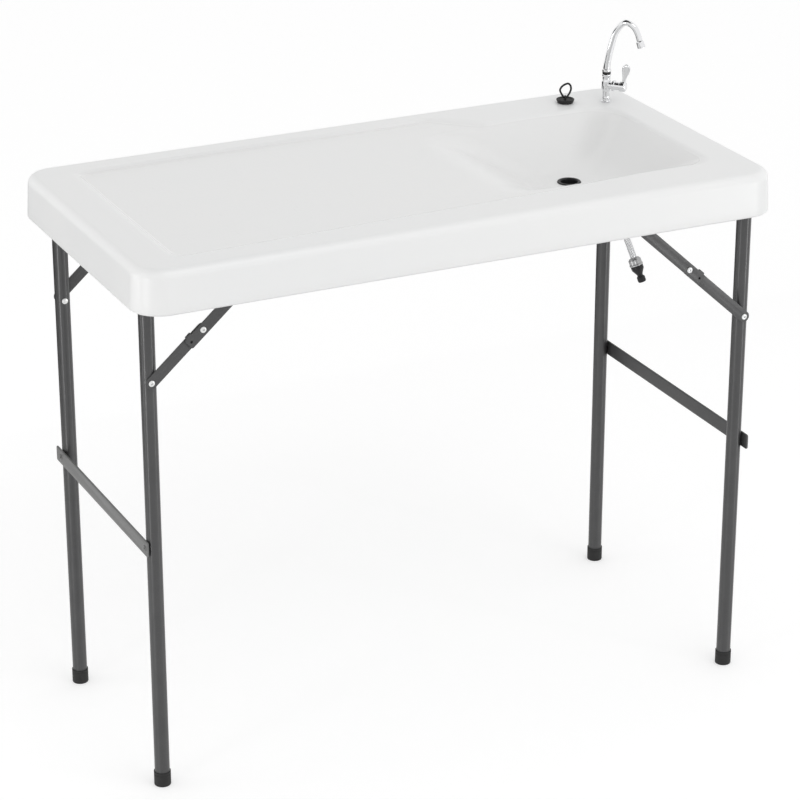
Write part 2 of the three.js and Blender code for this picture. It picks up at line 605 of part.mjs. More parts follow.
// One leg frame: two tubes, their pivot tube, crossbar, feet, braces and brackets.
// The end is -1 for the left frame and 1 for the right one, and a fold turns its feet to the middle.
function makeLegFrame(name, end, legY, braceDrop, crossbarCoat) {
  const pivotX = end * LEG_PIVOT_X;
  const rivetZ = PIVOT_HEIGHT - braceDrop;
  const anchorX = pivotX - end * (braceDrop + ANCHOR_OVER_LEG_DROP);
  const span = Math.hypot(anchorX - pivotX, braceDrop);
  const lowerLength = (span - ANCHOR_OVER_LEG_DROP) / 2;
  const elbowX = lerp(pivotX, anchorX, lowerLength / span);
  const elbowZ = lerp(rivetZ, PIVOT_HEIGHT, lowerLength / span);
  const tubeBottom = FOOT_FLOOR + FIT_GAP;
  const tubeTop = PIVOT_HEIGHT + LEG_OVER_PIVOT;
  const holeRadius = RIVET_SHANK_RADIUS + FIT_GAP;

  for (const [sideName, side] of [['front', -1], ['back', 1]]) {
    const y = side * legY;
    const tube = solid(pipe(LEG_TUBE_RADIUS, LEG_TUBE_WALL, tubeBottom, tubeTop, TUBE_SEGMENTS));
    const through = LEG_TUBE_RADIUS + OVERRUN;
    const crossHole = cylinder(holeRadius, -through, through, RIVET_SEGMENTS);
    const leg = tube.subtract(solid(crossHole.rotateX(Math.PI / 2).translate(0, 0, rivetZ)));
    addPart(`${name}_${sideName}_leg`, geometryOf(leg).translate(pivotX, y, 0), 'powder_coat');

    const cup = LEG_TUBE_RADIUS + FIT_GAP;
    addPart(`${name}_${sideName}_foot`, turned([
      [0, 0],
      [FOOT_RADIUS - FOOT_EDGE, 0],
      [FOOT_RADIUS, FOOT_EDGE],
      [FOOT_RADIUS, FOOT_HEIGHT - FOOT_EDGE],
      [cup + FIT_GAP, FOOT_HEIGHT],
      [cup, FOOT_HEIGHT],
      [cup, FOOT_FLOOR],
      [0, FOOT_FLOOR],
    ], TUBE_SEGMENTS).translate(pivotX, y, 0), 'black_rubber');

    const lower = linkShape(pivotX, rivetZ, elbowX, elbowZ, 0, [[0, holeRadius]]);
    const lowerPlate = plate(lower.shape, LOWER_INNER, LOWER_OUTER, PLATE_STEPS);
    lowerPlate.rotateY(-lower.angle).translate(pivotX, legY, rivetZ);
    addPart(`${name}_${sideName}_lower_link`, onSide(lowerPlate, side), 'powder_coat');

    const upperLength = Math.hypot(anchorX - elbowX, PIVOT_HEIGHT - elbowZ);
    const upper = linkShape(anchorX, PIVOT_HEIGHT, elbowX, elbowZ, LINK_TAIL, [
      [0, holeRadius],
      [upperLength, holeRadius],
      [upperLength + DIMPLE_FROM_ELBOW, DIMPLE_RADIUS],
    ]);
    const strip = solid(plate(upper.shape, UPPER_INNER, UPPER_OUTER, PLATE_STEPS));
    const tabInner = LEG_TUBE_RADIUS + STOP_TAB_TO_TUBE;
    const tabDepth = UPPER_OUTER - tabInner;
    const tab = new THREE.BoxGeometry(STOP_TAB_LENGTH, tabDepth, STOP_TAB_THICKNESS);
    const tabSide = BRACE_HALF_WIDTH + FIT_GAP + STOP_TAB_THICKNESS / 2;
    const tabMiddle = upperLength + STOP_TAB_START + STOP_TAB_LENGTH / 2;
    tab.translate(tabMiddle, tabInner + tabDepth / 2, end * tabSide);
    const shoulderWidth = STOP_TAB_THICKNESS + FIT_GAP + OVERRUN;
    const shoulderSide = BRACE_HALF_WIDTH + shoulderWidth / 2 - OVERRUN;
    const shoulder = new THREE.BoxGeometry(STOP_TAB_LENGTH, UPPER_LINK_THICKNESS, shoulderWidth);
    shoulder.translate(tabMiddle, (UPPER_INNER + UPPER_OUTER) / 2, end * shoulderSide);
    const upperPlate = geometryOf(strip.add(solid(tab)).add(solid(shoulder)));
    upperPlate.rotateY(-upper.angle).translate(anchorX, legY, PIVOT_HEIGHT);
    addPart(`${name}_${sideName}_upper_link`, onSide(upperPlate, side), 'powder_coat');

    makeAnchorBracket(`${name}_${sideName}_anchor_bracket`, anchorX, legY, side);
    makePivotBracket(`${name}_${sideName}_pivot_bracket`, end, side);
  }

  makePivotTube(`${name}_pivot_tube`, pivotX, legY);
  makeCrossbar(name, end, legY, crossbarCoat);
  makeRivets(name, pivotX, rivetZ, elbowX, elbowZ, anchorX, legY);
}

// The head of a screw that holds a bracket's foot up against the deck
function screwHead(seat) {
  const lip = SCREW_HEAD_RADIUS * SCREW_LIP_SHARE;
  return turned([
    [0, seat - SCREW_HEAD_HEIGHT],
    [lip, seat - SCREW_HEAD_HEIGHT],
    [SCREW_HEAD_RADIUS, seat - SCREW_HEAD_HEIGHT / 2],
    [SCREW_HEAD_RADIUS, seat + SCREW_HEAD_HEIGHT / 2],
    [0, seat + SCREW_HEAD_HEIGHT / 2],
  ], SCREW_SEGMENTS);
}

// An angle bracket screwed under the deck, whose flange carries an upper link
function makeAnchorBracket(name, anchorX, legY, side) {
  const footTop = DECK_UNDER - FIT_GAP;
  const reach = footTop - PIVOT_HEIGHT;
  const flange = new THREE.Shape();
  flange.absarc(0, 0, ANCHOR_HALF_WIDTH, Math.PI, 2 * Math.PI, false);
  flange.lineTo(ANCHOR_HALF_WIDTH, reach);
  flange.lineTo(-ANCHOR_HALF_WIDTH, reach);
  flange.closePath();
  roundHole(flange, 0, 0, RIVET_SHANK_RADIUS + FIT_GAP);
  const foot = new THREE.BoxGeometry(ANCHOR_HALF_WIDTH * 2, ANCHOR_FOOT, ANCHOR_PLATE);
  foot.translate(0, LOWER_INNER + ANCHOR_FOOT / 2, reach - ANCHOR_PLATE / 2);
  const flangePlate = plate(flange, LOWER_INNER, LOWER_INNER + ANCHOR_PLATE, PLATE_STEPS);
  let body = solid(flangePlate).add(solid(foot));
  const screwY = LOWER_INNER + ANCHOR_FOOT - SCREW_HEAD_RADIUS * 2;
  for (const across of [-1, 1]) {
    const screw = screwHead(reach - ANCHOR_PLATE);
    screw.translate((across * ANCHOR_HALF_WIDTH) / 2, screwY, 0);
    body = body.add(solid(screw));
  }
  const bracket = geometryOf(body).translate(anchorX, legY, PIVOT_HEIGHT);
  addPart(name, onSide(bracket, side), 'powder_coat');
}

// A strap round the pivot tube that holds it up against its cradle, with its foot towards the middle
function makePivotBracket(name, end, side) {
  const inner = PIVOT_TUBE_RADIUS + FIT_GAP;
  const outer = inner + PIVOT_BRACKET_THICKNESS;
  const footTop = PIVOT_BELOW_DECK - FIT_GAP;
  const footUnder = footTop - PIVOT_BRACKET_THICKNESS;
  const footEnd = outer + PIVOT_BRACKET_FOOT;
  const strap = new THREE.Shape();
  strap.moveTo(outer, footTop);
  strap.lineTo(inner, footTop);
  strap.lineTo(inner, 0);
  strap.absarc(0, 0, inner, 0, -Math.PI, true);
  strap.lineTo(-inner, footTop);
  strap.lineTo(-footEnd, footTop);
  strap.lineTo(-footEnd, footUnder);
  strap.lineTo(-outer, footUnder);
  strap.lineTo(-outer, 0);
  strap.absarc(0, 0, outer, -Math.PI, 0, false);
  strap.closePath();
  const near = PIVOT_BRACKET_Y - PIVOT_BRACKET_WIDTH / 2;
  const far = PIVOT_BRACKET_Y + PIVOT_BRACKET_WIDTH / 2;
  let body = solid(plate(strap, near, far, CORNER_STEPS));
  for (const across of [-1, 1]) {
    const screw = screwHead(footUnder);
    screw.translate(-(outer + footEnd) / 2, PIVOT_BRACKET_Y + (across * PIVOT_BRACKET_WIDTH) / 4, 0);
    body = body.add(solid(screw));
  }
  const bracket = geometryOf(body);
  if (end < 0) {
    bracket.rotateZ(Math.PI).translate(0, 2 * PIVOT_BRACKET_Y, 0);
  }
  addPart(name, onSide(bracket.translate(end * LEG_PIVOT_X, 0, PIVOT_HEIGHT), side), 'powder_coat');
}

// The tube between two legs that turns in the pivot brackets, its ends coped to the leg tubes
function makePivotTube(name, pivotX, legY) {
  const tube = pipe(PIVOT_TUBE_RADIUS, PIVOT_TUBE_WALL, -legY, legY, TUBE_SEGMENTS).rotateX(Math.PI / 2);
  const through = PIVOT_TUBE_RADIUS + OVERRUN;
  let coped = solid(tube);
  for (const side of [-1, 1]) {
    const cope = cylinder(LEG_TUBE_RADIUS + FIT_GAP, -through, through, TUBE_SEGMENTS);
    coped = coped.subtract(solid(cope.translate(0, side * legY, 0)));
  }
  const kept = coped.decompose().sort((a, b) => b.volume() - a.volume())[0];
  addPart(name, geometryOf(kept).translate(pivotX, 0, PIVOT_HEIGHT), 'powder_coat');
}

// The flat bar across the outer faces of two legs, with one end long and the other short
function makeCrossbar(name, end, legY, coat) {
  const long = legY + CROSSBAR_LONG_END;
  const short = legY + CROSSBAR_SHORT_END;
  const backReach = end < 0 ? long : short;
  const frontReach = end < 0 ? short : long;
  const half = CROSSBAR_WIDTH / 2;
  const outline = roundedOutline(
    rectangleCorners(-frontReach, backReach, -half, half, CROSSBAR_CORNER), CORNER_STEPS,
  );
  const bar = new THREE.ExtrudeGeometry(new THREE.Shape(outline), {
    depth: CROSSBAR_THICKNESS, bevelEnabled: false, curveSegments: CORNER_STEPS,
  });
  bar.rotateX(Math.PI / 2).rotateZ(Math.PI / 2);
  const face = LEG_PIVOT_X + LEG_TUBE_RADIUS + FIT_GAP;
  bar.translate(end < 0 ? -face - CROSSBAR_THICKNESS : face, 0, CROSSBAR_HEIGHT);
  let riveted = solid(bar);
  const root = LEG_TUBE_RADIUS + FIT_GAP + CROSSBAR_THICKNESS / 2;
  const seat = LEG_TUBE_RADIUS + FIT_GAP + CROSSBAR_THICKNESS;
  for (const side of [-1, 1]) {
    const head = turned([
      [0, root], [RIVET_HEAD_RADIUS, root], ...headProfile(seat, RIVET_HEAD_RADIUS, RIVET_HEAD_HEIGHT),
    ], RIVET_SEGMENTS);
    head.rotateY((end * Math.PI) / 2).translate(end * LEG_PIVOT_X, side * legY, CROSSBAR_HEIGHT);
    riveted = riveted.add(solid(head));
  }
  addPart(`${name}_crossbar`, geometryOf(riveted), coat);
}

// Rivets of the braces: at the legs, at the elbows and at the anchor brackets
function makeRivets(name, pivotX, rivetZ, elbowX, elbowZ, anchorX, legY) {
  const shank = RIVET_SHANK_RADIUS;
  const innerSeat = -LEG_TUBE_RADIUS - FIT_GAP;
  const innerHead = headProfile(innerSeat, RIVET_HEAD_RADIUS, -RIVET_HEAD_HEIGHT).reverse();
  const legProfile = [
    ...innerHead,
    [shank, innerSeat],
    [shank, LOWER_OUTER + FIT_GAP / 2],
    ...headProfile(LOWER_OUTER + FIT_GAP / 2, RIVET_HEAD_RADIUS, RIVET_HEAD_HEIGHT),
  ];
  const collarBottom = LOWER_OUTER + FIT_GAP;
  const collarTop = UPPER_INNER - FIT_GAP;
  const collar = [[RIVET_COLLAR_RADIUS, collarBottom], [RIVET_COLLAR_RADIUS, collarTop], [shank, collarTop]];
  const outerSeat = UPPER_OUTER + FIT_GAP;
  const outerHead = [[shank, outerSeat], ...headProfile(outerSeat, RIVET_HEAD_RADIUS, RIVET_HEAD_HEIGHT)];
  const elbowProfile = [[0, collarBottom], ...collar, ...outerHead];
  const anchorShank = [[0, LOWER_INNER], [shank, LOWER_INNER], [shank, collarBottom]];
  const anchorProfile = [...anchorShank, ...collar, ...outerHead];
  for (const [sideName, side] of [['front', -1], ['back', 1]]) {
    const y = side * legY;
    const prefix = `${name}_${sideName}`;
    addPart(`${prefix}_leg_rivet`, rivet(legProfile, pivotX, y, rivetZ, side), 'zinc');
    addPart(`${prefix}_elbow_rivet`, rivet(elbowProfile, elbowX, y, elbowZ, side), 'zinc');
    addPart(`${prefix}_anchor_rivet`, rivet(anchorProfile, anchorX, y, PIVOT_HEIGHT, side), 'zinc');
  }
}

// The faucet on its corner of the rim: base, body with the valve barrel, lever, seal, spout and aerator
function makeFaucet() {
  const faucet = new THREE.Group();
  faucet.position.set(FAUCET_X, FAUCET_Y, TABLE_HEIGHT);
  faucet.rotation.z = FAUCET_TURN;
  table.add(faucet);
  const shank = FAUCET_SHANK_RADIUS;

  addPart('faucet_base', turned([
    [shank + FIT_GAP, FIT_GAP],
    [FAUCET_BASE_RADIUS + FAUCET_BASE_STEP, FIT_GAP],
    [FAUCET_BASE_RADIUS + FAUCET_BASE_STEP, FAUCET_BASE_STEP * 2],
    [FAUCET_BASE_RADIUS, FAUCET_BASE_STEP * 3],
    [FAUCET_BASE_RADIUS, FAUCET_BASE_HEIGHT],
    [shank + FIT_GAP, FAUCET_BASE_HEIGHT],
    [shank + FIT_GAP, FIT_GAP],
  ], SMALL_SEGMENTS), 'chrome', faucet);

  const foot = FAUCET_BASE_HEIGHT + FIT_GAP;
  const column = turned([
    [0, -FAUCET_SHANK_LENGTH],
    [shank - SHANK_CHAMFER, -FAUCET_SHANK_LENGTH],
    [shank, -FAUCET_SHANK_LENGTH + SHANK_CHAMFER],
    [shank, foot],
    [FAUCET_BASE_RADIUS, foot],
    [FAUCET_WAIST_RADIUS, foot + FAUCET_BASE_STEP * 2],
    [FAUCET_WAIST_RADIUS, BARREL_HEIGHT - BARREL_RADIUS - FAUCET_BASE_STEP * 2],
    [FAUCET_BODY_RADIUS, BARREL_HEIGHT - BARREL_RADIUS],
    [FAUCET_BODY_RADIUS, BARREL_HEIGHT + BARREL_RADIUS],
    [FAUCET_WAIST_RADIUS, BARREL_HEIGHT + BARREL_RADIUS + FAUCET_BASE_STEP * 2],
    [FAUCET_BODY_RADIUS, FAUCET_BODY_HEIGHT - FAUCET_BASE_STEP * 2],
    [FAUCET_BODY_RADIUS, FAUCET_BODY_HEIGHT],
    [0, FAUCET_BODY_HEIGHT],
  ], SMALL_SEGMENTS);
  const barrel = turned([
    [0, 0],
    [BARREL_RADIUS, 0],
    [BARREL_RADIUS, BARREL_RING_START],
    [BARREL_RING_RADIUS, BARREL_RING_START],
    [BARREL_RING_RADIUS, BARREL_RING_START + BARREL_RING_WIDTH],
    [BARREL_RADIUS, BARREL_RING_START + BARREL_RING_WIDTH],
    [BARREL_RADIUS, BARREL_REACH],
    [0, BARREL_REACH],
  ], SMALL_SEGMENTS).rotateY(Math.PI / 2).translate(0, 0, BARREL_HEIGHT);
  addPart('faucet_body', geometryOf(solid(column).add(solid(barrel))), 'chrome', faucet);

  makeLever(faucet);

  const sealBottom = FAUCET_BODY_HEIGHT + FIT_GAP;
  const sealTop = sealBottom + SEAL_HEIGHT;
  const seal = cylinder(SEAL_RADIUS, sealBottom, sealTop, SMALL_SEGMENTS);
  addPart('spout_seal', seal, 'black_rubber', faucet);
  makeSpout(faucet, sealTop + FIT_GAP);

  const under = DECK_UNDER - TABLE_HEIGHT - FIT_GAP;
  const washerBottom = under - FAUCET_WASHER_THICKNESS;
  const bore = shank + FIT_GAP;
  const washerWall = FAUCET_WASHER_RADIUS - bore;
  const washer = pipe(FAUCET_WASHER_RADIUS, washerWall, washerBottom, under, SMALL_SEGMENTS);
  addPart('faucet_washer', washer, 'black_rubber', faucet);
  const nutTop = washerBottom - FIT_GAP;
  const clampNut = nut(FAUCET_NUT_RADIUS, bore, nutTop - FAUCET_NUT_HEIGHT, nutTop, SMALL_SEGMENTS);
  addPart('faucet_nut', clampNut, 'zinc', faucet);
}

// The lever: a hub on the end of the barrel and an upright paddle that widens along the barrel to its tip
function makeLever(faucet) {
  const hubStart = BARREL_REACH + FIT_GAP;
  const hub = turned([
    [0, hubStart],
    [LEVER_HUB_RADIUS - LEVER_HUB_EDGE, hubStart],
    [LEVER_HUB_RADIUS, hubStart + LEVER_HUB_EDGE],
    [LEVER_HUB_RADIUS, hubStart + LEVER_HUB_LENGTH - LEVER_HUB_EDGE * 2],
    [LEVER_HUB_RADIUS - LEVER_HUB_EDGE, hubStart + LEVER_HUB_LENGTH - LEVER_HUB_EDGE / 2],
    [0, hubStart + LEVER_HUB_LENGTH],
  ], SMALL_SEGMENTS).rotateY(Math.PI / 2);
  const neck = LEVER_TIP_HEIGHT - LEVER_TIP_HALF;
  const paddle = new THREE.Shape();
  paddle.moveTo(-LEVER_ROOT_HALF, 0);
  paddle.lineTo(LEVER_ROOT_HALF, 0);
  paddle.lineTo(LEVER_ROOT_HALF, LEVER_HUB_RADIUS);
  paddle.quadraticCurveTo(LEVER_ROOT_HALF, neck - LEVER_TIP_HALF, LEVER_TIP_HALF, neck);
  paddle.absarc(0, neck, LEVER_TIP_HALF, 0, Math.PI, false);
  paddle.quadraticCurveTo(-LEVER_ROOT_HALF, neck - LEVER_TIP_HALF, -LEVER_ROOT_HALF, LEVER_HUB_RADIUS);
  paddle.closePath();
  const blade = new THREE.ExtrudeGeometry(paddle, {
    depth: LEVER_THICKNESS, bevelEnabled: false, curveSegments: CORNER_STEPS,
  });
  const lean = Math.atan2(LEVER_LEAN, LEVER_TIP_HEIGHT);
  blade.translate(0, 0, -LEVER_THICKNESS / 2).rotateX(Math.PI / 2).rotateY(lean);
  blade.translate(hubStart + LEVER_HUB_LENGTH / 2, 0, 0);
  const lever = geometryOf(solid(hub).add(solid(blade))).translate(0, 0, BARREL_HEIGHT);
  addPart('faucet_lever', lever, 'chrome', faucet);
}

// The gooseneck spout on its collar, in the plane of the faucet's own X and Z, and its aerator
function makeSpout(faucet, foot) {
  const collarTop = foot + SPOUT_COLLAR_HEIGHT;
  const root = foot + SPOUT_ROOT;
  const path = new THREE.CatmullRomCurve3(SPOUT_PATH_SHARES.map(([out, up]) => new THREE.Vector3(
    SPOUT_REACH * out, 0, root + SPOUT_RISE * up,
  )), false, 'centripetal');
  const spout = solid(taperedTube(path, SPOUT_RADIUS, SPOUT_TIP_RADIUS, SPOUT_STEPS, SPOUT_SIDES));
  const collar = cylinder(SPOUT_COLLAR_RADIUS, foot, collarTop, SMALL_SEGMENTS);
  addPart('spout', geometryOf(spout.add(solid(collar))), 'chrome', faucet);

  const tip = path.getPoint(1);
  const direction = path.getTangent(1);
  const nozzle = turned([
    [0, FIT_GAP],
    [AERATOR_RADIUS - AERATOR_EDGE, FIT_GAP],
    [AERATOR_RADIUS, AERATOR_EDGE],
    [AERATOR_RADIUS, AERATOR_LENGTH],
    [AERATOR_RADIUS - AERATOR_EDGE, AERATOR_LENGTH],
    [AERATOR_RADIUS - AERATOR_EDGE, AERATOR_LENGTH - AERATOR_EDGE],
    [0, AERATOR_LENGTH - AERATOR_EDGE],
  ], SMALL_SEGMENTS);
  const upright = new THREE.Vector3(0, 0, 1);
  nozzle.applyQuaternion(new THREE.Quaternion().setFromUnitVectors(upright, direction));
  addPart('aerator', nozzle.translate(tip.x, tip.y, tip.z), 'chrome', faucet);
}

// A round tube along a path, with its radius going from one end's to the other's
function taperedTube(path, startRadius, endRadius, steps, sides) {
  const frames = path.computeFrenetFrames(steps, false);
  const positions = [];
  for (let i = 0; i <= steps; i += 1) {
    const centre = path.getPointAt(i / steps);
    const radius = lerp(startRadius, endRadius, i / steps);
    for (let k = 0; k < sides; k += 1) {
      const angle = (2 * Math.PI * k) / sides;
      const point = centre.clone();
      point.addScaledVector(frames.normals[i], radius * Math.cos(angle));
      point.addScaledVector(frames.binormals[i], radius * Math.sin(angle));
      positions.push(point.x, point.y, point.z);
    }
  }
  const index = [];
  for (let i = 0; i < steps; i += 1) {
    for (let k = 0; k < sides; k += 1) {
      const a = i * sides + k;
      const b = i * sides + ((k + 1) % sides);
      index.push(a, b, b + sides, a, b + sides, a + sides);
    }
  }
  const last = steps * sides;
  for (let k = 1; k < sides - 1; k += 1) {
    index.push(0, k + 1, k);
    index.push(last, last + k, last + k + 1);
  }
  const geometry = new THREE.BufferGeometry();
  geometry.setAttribute('position', new THREE.Float32BufferAttribute(positions, 3));
  geometry.setIndex(index);
  return geometry;
}

// The braided hose that hangs from the faucet's shank, with its nuts and the black adapter
function makeHose() {
  const shankEnd = TABLE_HEIGHT - FAUCET_SHANK_LENGTH;
  const nutTop = shankEnd + HOSE_NUT_LAP;
  const nutBottom = nutTop - HOSE_TOP_NUT_HEIGHT;
  const cap = solid(cylinder(HOSE_TOP_NUT_RADIUS, nutBottom, nutTop, HEXAGON_SIDES));
  const bore = FAUCET_SHANK_RADIUS + FIT_GAP;
  const socket = cylinder(bore, shankEnd - FIT_GAP, nutTop + OVERRUN, SMALL_SEGMENTS);
  const topNut = geometryOf(cap.subtract(solid(socket)));
  addPart('hose_top_nut', topNut.translate(FAUCET_X, FAUCET_Y, 0), 'zinc');

  const exit = new THREE.Vector3(FAUCET_X, FAUCET_Y, nutBottom - FIT_GAP);
  const stations = HOSE_ROUTE.map((offset) => new THREE.Vector3(...offset).add(exit));
  const route = new THREE.CatmullRomCurve3(stations);
  const section = new THREE.Shape();
  section.absarc(0, 0, HOSE_RADIUS, 0, 2 * Math.PI, false);
  addPart('hose', new THREE.ExtrudeGeometry(section, {
    steps: HOSE_STEPS, extrudePath: route, curveSegments: HOSE_SIDES,
  }), 'braided_steel');

  const end = route.getPoint(1);
  const down = route.getTangent(1);
  const aim = new THREE.Quaternion().setFromUnitVectors(new THREE.Vector3(0, 0, 1), down);
  const endNut = turned([
    [0, FIT_GAP],
    [HOSE_END_NUT_RADIUS - HOSE_NUT_EDGE * 2, FIT_GAP],
    [HOSE_END_NUT_RADIUS, HOSE_NUT_EDGE * 2],
    [HOSE_END_NUT_RADIUS, HOSE_END_NUT_HEIGHT - HOSE_NUT_EDGE],
    [HOSE_END_NUT_RADIUS - HOSE_NUT_EDGE, HOSE_END_NUT_HEIGHT],
    [0, HOSE_END_NUT_HEIGHT],
  ], HOSE_END_NUT_SEGMENTS);
  addPart('hose_end_nut', endNut.applyQuaternion(aim).translate(end.x, end.y, end.z), 'zinc');
  const start = HOSE_END_NUT_HEIGHT + FIT_GAP;
  const adapter = turned(ADAPTER_PROFILE_SHARES.map(([radiusShare, lengthShare]) => [
    ADAPTER_TOP_RADIUS * radiusShare, start + ADAPTER_LENGTH * lengthShare,
  ]), SMALL_SEGMENTS);
  addPart('hose_adapter', adapter.applyQuaternion(aim).translate(end.x, end.y, end.z), 'black_plastic');
}

// The rubber plug that stands on the back rim, and the wire ring through its eye
function makePlug() {
  const plug = new THREE.Group();
  plug.position.set(PLUG_X, PLUG_Y, TABLE_HEIGHT + FIT_GAP);
  plug.rotation.z = RING_TURN;
  table.add(plug);
  const dish = PLUG_HEIGHT - PLUG_DISH;
  const stopper = turned([
    [0, 0],
    [PLUG_BOTTOM_RADIUS, 0],
    [PLUG_TOP_RADIUS - PLUG_DISH / 2, dish - PLUG_DISH],
    [PLUG_TOP_RADIUS, dish],
    [PLUG_TOP_RADIUS, PLUG_HEIGHT - PLUG_DISH / 2],
    [PLUG_TOP_RADIUS - PLUG_DISH, PLUG_HEIGHT],
    [PLUG_TOP_RADIUS - PLUG_DISH * 2, PLUG_HEIGHT],
    [PLUG_TOP_RADIUS - PLUG_DISH * 3, dish],
    [0, dish],
  ], SMALL_SEGMENTS);
  const eyeHeight = dish + PLUG_LUG_HEIGHT - PLUG_LUG_HALF;
  const lug = new THREE.Shape();
  lug.moveTo(-PLUG_LUG_HALF, dish - PLUG_DISH);
  lug.lineTo(PLUG_LUG_HALF, dish - PLUG_DISH);
  lug.lineTo(PLUG_LUG_HALF, eyeHeight);
  lug.absarc(0, eyeHeight, PLUG_LUG_HALF, 0, Math.PI, false);
  lug.closePath();
  roundHole(lug, 0, eyeHeight, PLUG_EYE_RADIUS);
  const lugPlate = plate(lug, -PLUG_LUG_THICKNESS / 2, PLUG_LUG_THICKNESS / 2, PLATE_STEPS);
  lugPlate.rotateZ(Math.PI / 2);
  addPart('sink_plug', geometryOf(solid(stopper).add(solid(lugPlate))), 'black_rubber', plug);

  const loop = new THREE.CatmullRomCurve3(RING_OUTLINE_SHARES.map(([across, up]) => new THREE.Vector3(
    (across * RING_WIDTH) / 2, 0, eyeHeight + up * RING_HEIGHT,
  )), true, 'centripetal');
  const wire = new THREE.Shape();
  wire.absarc(0, 0, RING_WIRE_RADIUS, 0, 2 * Math.PI, false);
  addPart('plug_ring', new THREE.ExtrudeGeometry(wire, {
    steps: RING_STEPS, extrudePath: loop, curveSegments: RING_SIDES,
  }), 'zinc', plug);
}

makeTabletop();
makeDrain();
makeFaucet();
makeHose();
makePlug();
makeLegFrame('left', -1, LEFT_LEG_Y, LEFT_BRACE_DROP, 'light_coat');
makeLegFrame('right', 1, RIGHT_LEG_Y, RIGHT_BRACE_DROP, 'powder_coat');

export default table;
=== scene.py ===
import json
import math

import bmesh
import bpy
import numpy as np
from mathutils import Matrix, Vector


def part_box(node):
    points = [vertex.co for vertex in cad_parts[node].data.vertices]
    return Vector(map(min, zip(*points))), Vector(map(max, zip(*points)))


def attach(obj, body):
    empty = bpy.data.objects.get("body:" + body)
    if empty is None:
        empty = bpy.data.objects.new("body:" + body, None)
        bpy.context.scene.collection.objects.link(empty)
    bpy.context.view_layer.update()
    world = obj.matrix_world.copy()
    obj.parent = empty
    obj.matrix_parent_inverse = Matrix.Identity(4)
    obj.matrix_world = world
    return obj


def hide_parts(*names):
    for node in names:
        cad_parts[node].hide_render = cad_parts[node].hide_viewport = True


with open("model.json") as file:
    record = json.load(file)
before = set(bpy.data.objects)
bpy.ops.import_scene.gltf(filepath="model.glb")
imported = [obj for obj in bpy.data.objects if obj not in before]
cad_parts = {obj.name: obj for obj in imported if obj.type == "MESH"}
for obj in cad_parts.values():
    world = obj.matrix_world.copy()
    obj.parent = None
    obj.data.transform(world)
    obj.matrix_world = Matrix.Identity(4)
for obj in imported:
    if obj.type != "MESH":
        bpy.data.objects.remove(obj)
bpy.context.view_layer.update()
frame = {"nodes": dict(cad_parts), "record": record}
BODY_OF = {node: body for body, nodes in frame["record"]["behaviour"]["bodies"].items() for node in nodes}

# The photograph's view, for a square frame
PHOTO_SIZE = 800
FOCAL_PIXELS = 2931
SENSOR = 36
CAMERA_DISTANCE = 5.088
CAMERA_AZIMUTH = math.radians(-25.72)
CAMERA_ELEVATION = math.radians(22.92)
AIM_HEIGHT = 0.5
AIM_PIXEL = (399.1, 411.7)

# The moulded top
FIT_GAP = 0.0003
PLAN_CORNER_RADIUS = 0.052
TOP_EDGE_RADIUS = 0.016
BOTTOM_EDGE_RADIUS = 0.004
SKIRT_DRAFT = 0.003
SKIRT_WALL = 0.018
DECK_THICKNESS = 0.022
RECESS_DEPTH = 0.005
RECESS_FROM_LEFT = 0.071
RECESS_LEFT_FROM_FRONT = 0.05
RECESS_LEFT_FROM_BACK = 0.054
RECESS_BEND_FROM_RIGHT = 0.385
RECESS_BEND_FROM_FRONT = 0.079
RECESS_BEND_FROM_BACK = 0.041
RECESS_FRONT_END_FROM_RIGHT = 0.21
RECESS_BACK_END_FROM_RIGHT = 0.313
RECESS_CORNER_RADIUS = 0.026
RECESS_BEND_RADIUS = 0.06
# From the front left corner on: the front in two stretches, past the basin, the back end, back, left
RECESS_SIDE_SLOPES = [0.019, 0.019, 0.008, 0.034, 0.008, 0.02]
BASIN_DEPTH = 0.068
BASIN_WALL = 0.006
BASIN_SKIN = 0.003
BASIN_LENGTH = 0.417
BASIN_FROM_RIGHT = 0.068
BASIN_FROM_FRONT = 0.095
BASIN_FROM_BACK = 0.108
BASIN_RIM_RADIUS = 0.062
BASIN_FRONT_CORNER_RADIUS = 0.036
BASIN_FLOOR_RADIUS = 0.034
BASIN_LIP_SHAPE = 0.75
BASIN_EDGE_BLEND = 0.006
BASIN_LEAST_BLEND_SHARE = 0.001
RAMP_WITHOUT_EDGE = 0.09
RAMP_EDGE_START = 0.06
RAMP_START_SHAPE = 0.83
DRAIN_FLOOR_HALF = 0.037
HOLE_CLEARANCE = 0.0035
WORK_INSET = 0.05
WORK_EDGE = 0.004
WORK_DEPTH_SHARE = 0.9
CRADLE_WIDTH = 0.024
CRADLE_DEPTH = 0.022
CRADLE_HEIGHT = 0.0067
CRADLE_INTO_DECK = 0.002
CRADLE_CORNER = 0.002

# Spacing of the top's mesh
FINE_STEP = 0.0014
DECK_STEP = 0.0038
BASIN_STEP = 0.003
FINE_BAND = 0.022
RIM_ROWS = 12
FRONT_FINE_ROWS = 15
BACK_FINE_ROWS = 10
DECK_ROWS = 105
DEPTH_SEARCH_STEPS = 22
TOP_EDGE_STEPS = 12
SKIRT_STEPS = 4
BOTTOM_EDGE_STEPS = 6
INNER_EDGE_STEPS = 4
WALL_STEPS = 3
UNDERSIDE_STEPS = 14
CORNER_STEPS = 8
SMALL_CORNER_STEPS = 3

